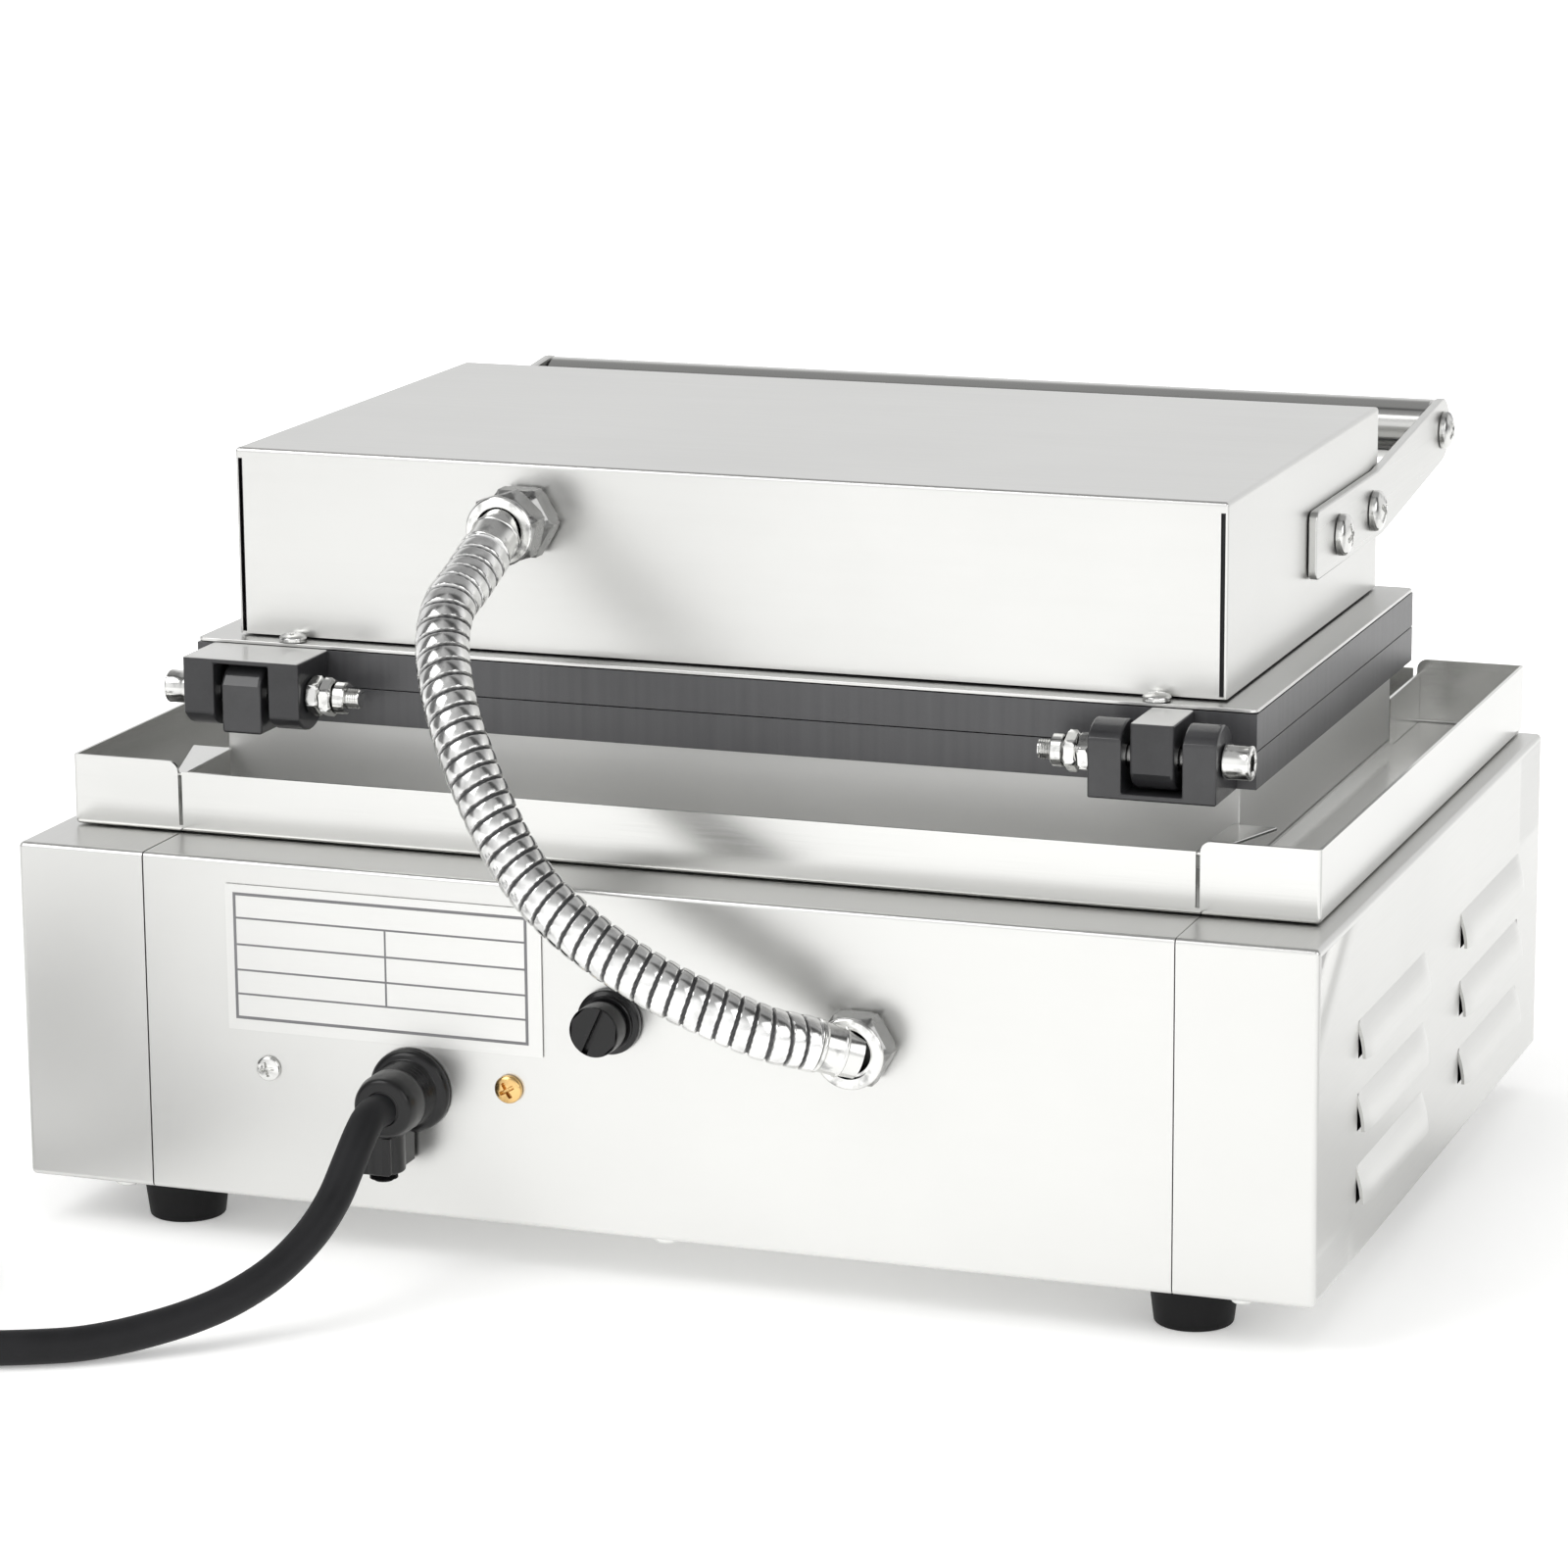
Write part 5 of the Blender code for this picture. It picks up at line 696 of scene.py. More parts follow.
# Drip tray: one stainless sheet, 1 mm, with an upstand round the housing and a wall round the outside.
# Slits near the corners leave four corner boxes, which partitions and ledges close on the inside.
TRAY_BOTTOM = 0.1128
TRAY_TOP = 0.1333
TRAY_MIDDLE_TOP = 0.1304
LEDGE_TOP = 0.1300
UPSTAND_TOP = 0.1168
SLIT_X = 0.1502
SLIT_HALF = 0.0006
SLIT_CORNER = 0.003
PARTITION = (0.1508, 0.1518)
RING_LOW = np.array((-0.1523, -0.0953))
RING_HIGH = np.array((0.1523, 0.0763))
TRAY_LOW = np.array((-0.184, -0.136))
TRAY_HIGH = np.array((0.184, 0.112))
LEDGE = [(0.1502, 0.0773), (0.1628, 0.0773), (0.1518, 0.1110), (0.1488, 0.1110)]
CORNER_BOX_FOLD = 0.0012
SLIT_FOOT = 0.0038

# Sheet rolled smoother than the casing's: a clearer mirror, with the same fine grit.
tray_steel = satin_stainless("smooth_stainless_tray_sheet", "X", roughness=0.22)
easing = np.radians(np.linspace(0, 90, 6))
box_xs = SLIT_X + SLIT_HALF + SLIT_CORNER * (1 - np.cos(easing))
box_heights = TRAY_TOP - SLIT_CORNER * (1 - np.sin(easing))
stops = [(sign * x, end) for sign in (-1, 1) for x in (SLIT_X - SLIT_HALF, *box_xs) for end in (-1, 1)]
outer = loop_stations(TRAY_LOW, TRAY_HIGH, CORNER_BOX_FOLD, stops)
# The upstand has as many points as the wall, so the stops past the slits are gathered beside its corners.
ring_corner = RING_HIGH[0] - CORNER_BOX_FOLD - 0.0002
ring = loop_stations(RING_LOW, RING_HIGH, CORNER_BOX_FOLD, [
    (math.copysign(np.interp(abs(x), (box_xs[0], box_xs[-1]), (ring_corner - 0.0005, ring_corner)), x)
     if abs(x) > SLIT_X else x, end) for x, end in stops])
outer_line = inset_loop(outer, 0)
tray_middle, tray_half = (TRAY_LOW[1] + TRAY_HIGH[1]) / 2, (TRAY_HIGH[1] - TRAY_LOW[1]) / 2
along_end = np.abs(np.abs(outer_line[:, 1] - tray_middle) - tray_half) < MERGE
reach = np.abs(outer_line[:, 0])
wall_top = np.where(along_end & (reach < SLIT_X), TRAY_MIDDLE_TOP, np.interp(reach, box_xs, box_heights))
wall_top = np.where(along_end, wall_top, TRAY_TOP)
ring_line = inset_loop(ring, 0)
guarded = inset_loop(outer, FOLD_RADIUS + GUARD)
tray_rows = [lifted(ring_line, UPSTAND_TOP), lifted(ring_line, TRAY_BOTTOM + FOLD_RADIUS / 2),
             lifted(ring_line, TRAY_BOTTOM), lifted(guarded, TRAY_BOTTOM),
             *fold_rows(outer, TRAY_BOTTOM, FOLD_RADIUS, -1)[::-1],
             lifted(outer_line, TRAY_BOTTOM + FOLD_RADIUS + GUARD),
             *[lifted(outer_line, TRAY_BOTTOM + SLIT_FOOT + (wall_top - TRAY_BOTTOM - SLIT_FOOT) * part)
               for part in (0, 0.5, 1)]]
column_middle = np.abs(outer_line[:, 0] + np.roll(outer_line[:, 0], -1)) / 2
slit_columns = along_end & np.roll(along_end, -1) & (np.abs(column_middle - SLIT_X) < SLIT_HALF / 2)
slits = np.zeros((len(tray_rows) - 1, len(outer_line)), bool)
slits[-3:] = slit_columns[None]
tray = surface_piece("drip_tray_sheet", [grid_patch(np.stack(tray_rows), left_out=slits)], tray_steel)
fit(finish_sheet(tray), "base", "stainless", "drip_tray")


def prism(outline, axis, low, high):
    """A closed outline in the two other axes, carried from low to high along an axis and capped."""
    outline = np.asarray(outline, float)
    order = {"X": (2, 0, 1), "Y": (0, 2, 1), "Z": (0, 1, 2)}[axis]
    rows = np.stack([lifted(outline, low), lifted(outline, high)])
    return grid_patch(rows[..., order], caps=(0, -1), flip=axis == "Y")


def rectangle(low, high):
    """The outline of an upright rectangle between two opposite corners."""
    return [(low[0], low[1]), (high[0], low[1]), (high[0], high[1]), (low[0], high[1])]


inner = []
for sign in (-1, 1):
    for low_y, high_y in ((RING_HIGH[1] + WALL, TRAY_HIGH[1] - WALL),
                          (TRAY_LOW[1] + WALL, RING_LOW[1] - WALL)):
        inner.append(prism(rectangle((low_y, TRAY_BOTTOM + WALL), (high_y, LEDGE_TOP - WALL)), "X",
                           *sorted(sign * x for x in PARTITION)))
    outline = [(sign * x, y) for x, y in LEDGE]
    inner.append(prism(outline[::sign], "Z", LEDGE_TOP - WALL, LEDGE_TOP))
corners = surface_piece("drip_tray_corners", inner, tray_steel)
fit(finish_sheet(corners, wall=0), "base", "stainless")


ROUNDED_ANGLE = math.radians(30)


def softened_copy(node, name, material, edge, segments=3, free=False):
    """A copy of a plain solid with its triangles merged into flat faces and its edges rounded.
    free lets the rounding run on where edges lie close together."""
    shape = bmesh.new()
    shape.from_mesh(nodes[node].data)
    bmesh.ops.remove_doubles(shape, verts=shape.verts, dist=MERGE)
    bmesh.ops.dissolve_limit(shape, angle_limit=math.radians(0.5), verts=shape.verts, edges=shape.edges)
    mesh = bpy.data.meshes.new(name)
    shape.to_mesh(mesh)
    shape.free()
    piece = placed(name, mesh, material)
    rounding = piece.modifiers.new("rounded_edges", "BEVEL")
    rounding.width = edge
    rounding.segments = segments
    rounding.limit_method = "ANGLE"
    rounding.angle_limit = ROUNDED_ANGLE
    rounding.harden_normals = True
    rounding.use_clamp_overlap = not free
    piece.modifiers.new("flat_faces", "WEIGHTED_NORMAL").keep_sharp = True
    return piece


# Heater housing: the upright sheet walls that carry the lower plate, with the pans and elements inside.
# Its rolled sheet is rougher, and its colour is painted paler than the casing's as painted light, so that it
# stays bright in the plates' shadow.
pale_painted_light_sheet = satin_stainless("rough_stainless_sheet_painted_pale_as_light", "X", colour="#E8E8E6", roughness=0.50)
fit(softened_copy("heater_housing", "housing_sheet", pale_painted_light_sheet, 0.0006), "base", "stainless",
    "heater_housing")
coat_solids(satin_x, "lower_heat_shield", "upper_heat_shield")
# Heating elements: dull steel, browned by the heat.
element_steel = plated_steel("dull_steel_of_the_heating_elements", "#9A9894", 0.35, "#6F6A64")
coat_solids(element_steel, "lower_heater", "upper_heater")


# Waffle plates: cast aluminium, machined on the outside and sprayed with a dark non-stick coat.
# Their edges are eased like a casting's, and the coat shows the cutter's upright lines.
def coated_casting(name, colour, roughness):
    """A dark non-stick coat on cast aluminium: faintly glossy, with upright tool marks about 3 mm apart."""
    material, tree = start_material(name)
    place = add_node(tree, "TexCoord").outputs["Object"]
    marks = add_node(tree, "TexNoise", {
        "Vector": add_node(tree, "Mapping", {"Vector": place, "Scale": (330, 330, 12)}).outputs[0],
        "Scale": 1.0, "Detail": 2.0})
    speck = add_node(tree, "TexNoise", {"Vector": place, "Scale": 3200.0, "Detail": 2.0})
    height = add_node(tree, "Math", {0: marks.outputs["Fac"], 1: 0.5, 2: speck.outputs["Fac"]},
                      operation="MULTIPLY_ADD")
    bump = add_node(tree, "Bump", {"Height": height.outputs[0], "Strength": 0.6, "Distance": 0.00006})
    tint = add_node(tree, "ValToRGB", {"Fac": marks.outputs["Fac"]})
    tint.color_ramp.elements[0].position = 0.3
    tint.color_ramp.elements[0].color = [channel * 0.8 for channel in linear(colour)[:3]] + [1.0]
    tint.color_ramp.elements[1].position = 0.7
    tint.color_ramp.elements[1].color = linear(colour)
    shader = add_node(tree, "BsdfPrincipled", {
        "Base Color": tint.outputs["Color"], "Roughness": roughness, "Normal": bump.outputs[0],
        "Specular IOR Level": 0.6})
    add_node(tree, "OutputMaterial", {"Surface": shader.outputs[0]})
    return material


coat = coated_casting("dark_nonstick_coat_on_cast_aluminium", "#515153", 0.34)
for node, body in (("lower_waffle_plate", "base"), ("upper_waffle_plate", "lid")):
    fit(softened_copy(node, node.replace("_plate", "_casting"), coat, 0.0005, segments=2), body,
        "coated_plate", node)


# Lid flange: a flat stainless sheet on the upper plate, open where the plate's body comes through.
# It is 1 mm thick, and a domed screw shows on it near each hinge.
FLANGE = (0.16225, 0.16325)
flange_rings = [loop_stations(low, high, corner) for low, high, corner in (
    ((-0.143, -0.085), (0.143, 0.068), 0.001), ((-0.158, -0.097), (0.158, 0.082), 0.002))]
hole, rim = [inset_loop(stations, 0) for stations in flange_rings]
flange = surface_piece("lid_flange_sheet", [grid_patch(np.stack([
    lifted(hole, FLANGE[1]), lifted(hole, FLANGE[0]), lifted(rim, FLANGE[0]), lifted(rim, FLANGE[1]),
    lifted(hole, FLANGE[1])]))], satin_x)
fit(finish_sheet(flange, wall=0, edge=0.00015), "lid", "stainless", "lid_flange")


# Lid cover: a deep pan of satin stainless sheet, its corners folded and lapped on the rear face.
# The lap leaves an open seam 1.3 mm wide near each rear corner.
COVER_LOW = np.array((-0.1475, -0.093))
COVER_HIGH = np.array((0.1475, 0.075))
COVER_Z = (0.1639, 0.2182)
COVER_CORNER = 0.0007
COVER_SEAM = (0.1454, 0.1467)
COVER_FOLD = 0.0011
cover_stops = [(sign * x, end) for sign in (-1, 1) for x in COVER_SEAM for end in (-1, 1)]
cover_loop = loop_stations(COVER_LOW, COVER_HIGH, COVER_CORNER, cover_stops)
cover_line = inset_loop(cover_loop, 0)
cover_rows = [lifted(cover_line, COVER_Z[0]), lifted(cover_line, COVER_Z[0] + 0.0006),
              lifted(cover_line, COVER_Z[1] - 0.0030), lifted(cover_line, COVER_Z[1] - COVER_FOLD - 0.0003),
              *fold_rows(cover_loop, COVER_Z[1], COVER_FOLD, 1),
              lifted(inset_loop(cover_loop, COVER_FOLD + GUARD), COVER_Z[1])]
cover_reach = (np.abs(cover_line[:, 0]) + np.roll(np.abs(cover_line[:, 0]), -1)) / 2
on_rear = cover_line[:, 1] > COVER_HIGH[1] - MERGE
seams = np.zeros((len(cover_rows) - 1, len(cover_line)), bool)
seams[1] = (cover_reach > COVER_SEAM[0]) & (cover_reach < COVER_SEAM[1]) & on_rear & np.roll(on_rear, -1)
cover = surface_piece("lid_cover_sheet", [grid_patch(np.stack(cover_rows), left_out=seams, caps=(-1,))],
                      satin_x)
finish_sheet(cover, wall=0.0006, edge=0.0002)
fit(cover, "lid", "stainless", "lid_cover")
# The folded lap behind the seam: a strip of the side's sheet turned in behind the rear face, painted dark
# grey as the shade in its gap.
LAP = rectangle((0.1440, 0.0728), (0.1464, 0.0735))
laps = [prism([(sign * x, y) for x, y in LAP][::sign], "Z", COVER_Z[0] + 0.0004, COVER_Z[1] - 0.0016)
        for sign in (-1, 1)]
# Steel in a narrow gap: painted dark grey as shade, without a shine.
seam_shade_paint = moulded_material("steel_painted_dark_as_seam_shade", "#3E3E40", "#4C4C4E", 0.6, 0.5, 0.01)
fit(surface_piece("lid_cover_laps", laps, seam_shade_paint), "lid", "stainless")


# Handle: two arms cut from 2.5 mm stainless plate, and a polished tube between them.
# Domed screws hold the arms to the cover and the tube to the arms.
RECESS_REACH = 0.58
RECESS_HALF = 0.13
RECESS_SLOPE = 0.05


def cross_head(place, way, radius, height, turn):
    """A screw's head: a straight rim and a dome, height (0.34 + 0.66 sqrt(1 - share ** 2)), less a cross.
    The cross sinks by half the height, over a slope, near the two lines on which u or v is zero."""
    shares = np.concatenate([np.linspace(0, 0.78, 34), np.linspace(0.82, 1, 9)])
    angles = np.linspace(0, math.tau, 72, endpoint=False)
    share, angle = np.meshgrid(shares, angles, indexing="ij")
    dome = height * (0.34 + 0.66 * np.sqrt(np.clip(1 - share ** 2, 0, 1)))
    u, v = share * np.cos(angle - turn), share * np.sin(angle - turn)
    inside = RECESS_HALF - np.minimum(np.abs(u), np.abs(v)) - 10 * np.maximum(share - RECESS_REACH, 0)
    z = dome - height / 2 * np.clip(inside / RECESS_SLOPE, 0, 1)
    way, across, up = axis_frame(way)
    top = (np.array(place, float) + radius * share[..., None] * (np.cos(angle)[..., None] * across
           + np.sin(angle)[..., None] * up) + z[..., None] * way)
    foot = top[-1:] - z[-1][None, :, None] * way
    return grid_patch(np.concatenate([top, foot])[::-1], caps=(0,))


def add_screws(name, screws, material, body, slot_name, *replaced):
    """Several screw heads as one object: each is (place, way, radius, height, turn in degrees)."""
    patches = [cross_head(place, way, radius, height, math.radians(turn))
               for place, way, radius, height, turn in screws]
    return fit(surface_piece(name, patches, material), body, slot_name, *replaced)


# The arms' plate is satin and a little darker than the sheet. The tube mirrors the room in long bands.
satin_arm = satin_stainless("satin_stainless_plate", "Y", "#CDCDCB", 0.3)
polished = satin_stainless("polished_stainless_tube", "X", "#C2C2C0", 0.17)
for hand in ("right", "left"):
    arm = softened_copy(f"{hand}_handle_arm", f"{hand}_arm_plate", satin_arm, 0.0004, segments=2)
    fit(arm, "lid", "stainless", f"{hand}_handle_arm")
GRIP_Y, GRIP_Z, GRIP_RADIUS = -0.1652, 0.1998, 0.0094
grip_rows = [(GRIP_RADIUS - 0.0008, 0.0), (GRIP_RADIUS, 0.0008), (GRIP_RADIUS, 0.2942),
             (GRIP_RADIUS - 0.0008, 0.295)]
grip = surface_piece("grip_tube", [spun(grip_rows, (-0.1475, GRIP_Y, GRIP_Z), (1, 0, 0), sides=64,
                                        caps=(0, -1))], polished)
fit(grip, "lid", "stainless", "handle_tube")
ARM_FACE = 0.1506
ARM_SCREWS = (("rear_arm_screw", -0.0366, 0.1898, 0.0061, 0.0036, 20),
              ("front_arm_screw", -0.0765, 0.1898, 0.0061, 0.0036, 55),
              ("handle_screw", GRIP_Y, GRIP_Z, 0.0058, 0.0032, 35))
for side, hand in ((1, "right"), (-1, "left")):
    arm_screws = [((side * ARM_FACE, y, z), (side, 0, 0), radius, height, turn)
                  for _, y, z, radius, height, turn in ARM_SCREWS]
    add_screws(f"{hand}_arm_screws", arm_screws, nickel, "lid", "bright_steel",
               *[f"{hand}_{name}" for name, *_ in ARM_SCREWS])
    add_screws(f"{hand}_flange_screw_head", [((side * 0.129, 0.079, 0.16355), (0, 0, 1), 0.004, 0.0022, 15)],
               nickel, "lid", "bright_steel", f"{hand}_flange_screw")


# Hinges: black castings, a clevis and a tongue on each side, rounded and slightly rough from the mould.
# A socket-head bolt runs through each pair and ends in two nuts, turned against each other, and a collar.
CASTING_PAINT = ("#28282A", "#38383A", 0.42, 0.9, 0.09)


def machined_casting(name, top):
    """A black painted casting with a painted highlight on its top: the colour turns light grey 0.4 to 0.2 mm
    below it.
    """
    material = moulded_material(name, *CASTING_PAINT, coat=0.5)
    tree = material.node_tree
    shader = tree.nodes["Principled BSDF"]
    height = add_node(tree, "SeparateXYZ", {0: add_node(tree, "TexCoord").outputs["Object"]}).outputs[2]
    # The top face is painted light grey as a highlight, fading in over 0.2 mm.
    top_highlight_share = add_node(tree, "MapRange", {"Value": height, "From Min": top - 0.0004, "From Max": top - 0.0002})
    paint = shader.inputs["Base Color"].links[0].from_socket
    tint = add_node(tree, "Mix", {"Factor": top_highlight_share.outputs[0], 6: paint, 7: linear("#C4C4C2")},
                    data_type="RGBA")
    tree.links.new(tint.outputs[2], shader.inputs["Base Color"])
    return material


# Paint on iron that is rough from the mould: dark grey, with a thin gloss over its grain.
casting = moulded_material("black_painted_cast_iron", *CASTING_PAINT, coat=0.8)
CASTING_EDGES = {"clevis": 0.0006, "tongue": 0.0009}
for hand, part, body in (("right", "clevis", "lid"), ("right", "tongue", "base"),
                         ("left", "clevis", "base"), ("left", "tongue", "lid")):
    node = f"{hand}_hinge_{part}"
    # Only the castings on the lid get the painted highlight on their top faces.
    iron = machined_casting(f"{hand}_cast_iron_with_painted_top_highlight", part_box(node)[1][2]) if body == "lid" else casting
    fit(softened_copy(node, f"{hand}_{part}_casting", iron, CASTING_EDGES[part], free=True), body,
        "black_casting", node)
HINGE_Y, HINGE_Z = 0.095, 0.1515
NUT_RADIUS, NUT_LENGTH = 0.0058, 0.0039
NUT_BORE = 0.003
NUT_TURN = 0.3
NUT_SPREAD = math.radians(17)


def nut_rows(radius, start, length):
    """A hexagon nut's profile, its corners trimmed at both ends; a row is (radius, height, 6, clip)."""
    return [(radius * 0.80, start, 0), (radius * 0.86, start, 6),
            (radius, start + length * 0.14, 6, radius * 0.925),
            (radius, start + length * 0.24, 6), (radius, start + length * 0.76, 6),
            (radius, start + length * 0.86, 6, radius * 0.925), (radius * 0.86, start + length, 6),
            (radius * 0.80, start + length, 0)]


for side, hand in ((1, "right"), (-1, "left")):
    root = (side * 0.1162, HINGE_Y, HINGE_Z)
    bolt_tail = 0.0160 - 0.0003
    thread = [(0.0029 - 0.0003 * (at % 2), 0.0120 + 0.00035 * at) for at in range(10)]
    nuts = [spun([(NUT_BORE, at * NUT_LENGTH), *nut_rows(NUT_RADIUS, at * NUT_LENGTH, NUT_LENGTH),
                  (NUT_BORE, (at + 1) * NUT_LENGTH)], root, (-side, 0, 0), sides=96,
                 turn=NUT_TURN + at * NUT_SPREAD) for at in range(2)]
    nuts += [spun([(NUT_BORE, 0.0081), (0.0042, 0.0081), (0.0046, 0.0085), (0.0046, 0.0112), (0.0042, 0.0116),
                   (NUT_BORE, 0.0116)], root, (-side, 0, 0), sides=64),
             spun([(0.0029, 0.0078), (0.0029, 0.0116), *thread, (0.0026, bolt_tail - 0.0002),
                   (0.0020, bolt_tail), (0, bolt_tail)], root, (-side, 0, 0), sides=48)]
    fit(surface_piece(f"{hand}_nuts_and_collar", nuts, nickel), "base", "bright_steel", f"{hand}_hinge_nut")
    seat = (side * 0.1528, HINGE_Y, HINGE_Z)
    head = [(0.0, 0.0), (0.0045, 0.0), (0.0048, 0.0003), (0.0048, 0.0022), (0.0047, 0.0024), (0.0047, 0.0066),
            *arc_rows(0.0042, 0.0071, 0.0006, 0, 90, 4), (0.0027, 0.0077), (0.0026, 0.0075, 6),
            (0.0026, 0.0037, 6), (0.0, 0.0037)]
    bolt = [spun(head, seat, (side, 0, 0), sides=96),
            spun([(0.0029, 0.0), (0.0029, 0.0364)], (side * 0.1163, HINGE_Y, HINGE_Z), (side, 0, 0),
                 caps=(0, -1))]
    fit(surface_piece(f"{hand}_socket_head_bolt", bolt, nickel), "base", "bright_steel", f"{hand}_hinge_bolt")


# Conduit: strip-wound steel hose, 15 mm across, with a turn of the strip every 4.6 mm and a groove between.
# It crosses the hinge; its end sleeves and lock nuts stay with lid and base.
CONDUIT_RADIUS = 0.0075
RIB_PITCH = 0.0046
RIB_DEPTH = 0.0008
RIB_POINTS = 20
GROOVE_HALF = 0.13
GROOVE_SLOPE = 0.07
CROWN_DROP = 0.00025
RIB_FADE = 0.0012
EASE_POINTS = 71
HOSE_SIDES = 48
CONDUIT_ROUTE = [
    (0.0590, 0.1275, 0.1868), (0.0570, 0.1368, 0.1777), (0.0515, 0.1460, 0.1666), (0.0440, 0.1535, 0.1537),
    (0.0360, 0.1590, 0.1415), (0.0272, 0.1632, 0.1290), (0.0170, 0.1662, 0.1180), (0.0035, 0.1674, 0.1078),
    (-0.0110, 0.1672, 0.0993), (-0.0240, 0.1655, 0.0927)]
HEX_RADIUS, HEX_LENGTH = 0.0110, 0.0098
WALL_GAP = 0.0003
UPPER_WALL = np.array((0.057, 0.075 + WALL_GAP, 0.2024))
LOWER_WALL = np.array((-0.0635, 0.136 + WALL_GAP, 0.076))
UPPER_ROOT = UPPER_WALL + (0, 2 * HEX_LENGTH, 0)
LOWER_ROOT = LOWER_WALL + (0, HEX_LENGTH, 0)
UPPER_SLEEVE = np.array((0.0005, 0.0095, -0.0047))
LOWER_SLEEVE = np.array((0.0078, 0.0055, 0.0030))
upper_way, lower_way = (way / np.linalg.norm(way) for way in (UPPER_SLEEVE, LOWER_SLEEVE))
upper_end = UPPER_ROOT + UPPER_SLEEVE + upper_way * WALL_GAP
lower_end = LOWER_ROOT + LOWER_SLEEVE + lower_way * WALL_GAP
# Zinc plate: greyer than nickel, and a softer mirror.
nut_steel = plated_steel("zinc_plated_lock_nuts", "#949493", 0.28, "#8E8E8D")
hose_line = curve_through([upper_end, upper_end + upper_way * CONDUIT_RADIUS,
                           upper_end + upper_way * 2 * CONDUIT_RADIUS, *CONDUIT_ROUTE,
                           lower_end + lower_way * 2 * CONDUIT_RADIUS,
                           lower_end + lower_way * CONDUIT_RADIUS, lower_end], RIB_PITCH / RIB_POINTS)
# Its bends are eased by a running mean over 16 mm. The ends are carried on straight, so they stay in place.
window = np.hanning(EASE_POINTS) / np.hanning(EASE_POINTS).sum()
lead = np.arange(-(EASE_POINTS // 2), 0)[:, None]
carried_on = np.vstack([hose_line[0] + (hose_line[1] - hose_line[0]) * lead, hose_line,
                        hose_line[-1] - (hose_line[-1] - hose_line[-2]) * lead[::-1]])
hose_line = np.stack([np.convolve(carried_on[:, axis], window, mode="valid") for axis in range(3)], axis=1)
hose_run = run_along(hose_line)
# The winding's phase grows along the hose and falls once round it, so groove and crown run as a helix.
around = np.linspace(0, 1, HOSE_SIDES, endpoint=False)[None]
phase = (hose_run[:, None] / RIB_PITCH - around) % 1
in_groove = np.clip((GROOVE_HALF - np.abs(phase - 0.5)) / GROOVE_SLOPE, 0, 1)
crown = CROWN_DROP * (2 * np.abs(phase - 0.5) - 1) ** 2
fade = np.clip(np.minimum(hose_run, hose_run[-1] - hose_run) / RIB_FADE, 0, 1)[:, None]
hose_radii = CONDUIT_RADIUS - fade * (RIB_DEPTH * in_groove * in_groove * (3 - 2 * in_groove) + crown)


def wound_steel():
    """Bright rolled strip: a near mirror, faintly clouded, with dirt and shadow in its grooves."""
    material, tree = start_material("bright_strip_wound_steel")
    groove = add_node(tree, "Attribute", attribute_name="groove").outputs["Fac"]
    place = add_node(tree, "TexCoord").outputs["Object"]
    smear = add_node(tree, "TexNoise", {"Vector": place, "Scale": 160.0, "Detail": 4.0})
    bright = add_node(tree, "ValToRGB", {"Fac": smear.outputs["Fac"]})
    bright.color_ramp.elements[0].position = 0.3
    bright.color_ramp.elements[0].color = linear("#C6C6C5")
    bright.color_ramp.elements[1].position = 0.6
    bright.color_ramp.elements[1].color = linear("#ECECEB")
    tint = add_node(tree, "Mix", {"Factor": groove, 6: bright.outputs["Color"], 7: linear("#59595A")},
                    data_type="RGBA")
    rough = add_node(tree, "MapRange", {"Value": groove, "To Min": 0.17, "To Max": 0.6})
    shader = add_node(tree, "BsdfPrincipled", {"Base Color": tint.outputs[2], "Metallic": 1.0,
                                               "Roughness": rough.outputs[0]})
    add_node(tree, "OutputMaterial", {"Surface": shader.outputs[0]})
    return material


hose_skin = grid_patch(tube_points(hose_line, hose_radii, HOSE_SIDES), caps=(0, -1))
hose = surface_piece("strip_wound_conduit", [hose_skin], wound_steel())
groove_mark = hose.data.attributes.new("groove", "FLOAT", "POINT")
groove_mark.data.foreach_set("value", (fade * in_groove).astype(np.float32).ravel())
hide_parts("power_conduit")
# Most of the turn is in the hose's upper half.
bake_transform(hose)
for name, body, wall, hexes, root_point, way, node in (
        ("upper", "lid", UPPER_WALL, 2, UPPER_ROOT, UPPER_SLEEVE, "conduit_upper_fitting"),
        ("lower", "base", LOWER_WALL, 1, LOWER_ROOT, LOWER_SLEEVE, "conduit_lower_fitting")):
    lock_nuts = surface_piece(f"{name}_conduit_lock_nuts", [
        spun([(0.007, 0.0), *nut_rows(HEX_RADIUS, at * HEX_LENGTH, HEX_LENGTH),
              (0.007, (at + 1) * HEX_LENGTH)], wall, (0, 1, 0), sides=96, turn=at * NUT_SPREAD)
        for at in range(hexes)], nut_steel)
    fit(lock_nuts, body, "bright_steel")
    sleeve_length = float(np.linalg.norm(way))
    washer_rows = [(0.006, 0.0), (0.0094, 0.0), *arc_rows(0.0094, 0.00075, 0.0006, -60, 60, 6),
                   (0.0094, 0.0015), (0.0070, 0.0015)]
    sleeve_rows = [(0.0, -0.002), (0.0066, -0.002), (0.0066, 0.0006),
                   *arc_rows(0.0067, 0.0030, 0.0006, -90, 60, 6), (0.0069, 0.0040),
                   (0.0069, sleeve_length - 0.0016),
                   *arc_rows(0.0065, sleeve_length - 0.0008, 0.0008, -45, 80, 6), (0.0, sleeve_length)]
    fitting = [spun(washer_rows, root_point, (0, 1, 0), sides=64),
               spun(sleeve_rows, root_point, way, sides=64)]
    fit(surface_piece(f"{name}_conduit_fitting", fitting, nickel), body, "bright_steel", node)


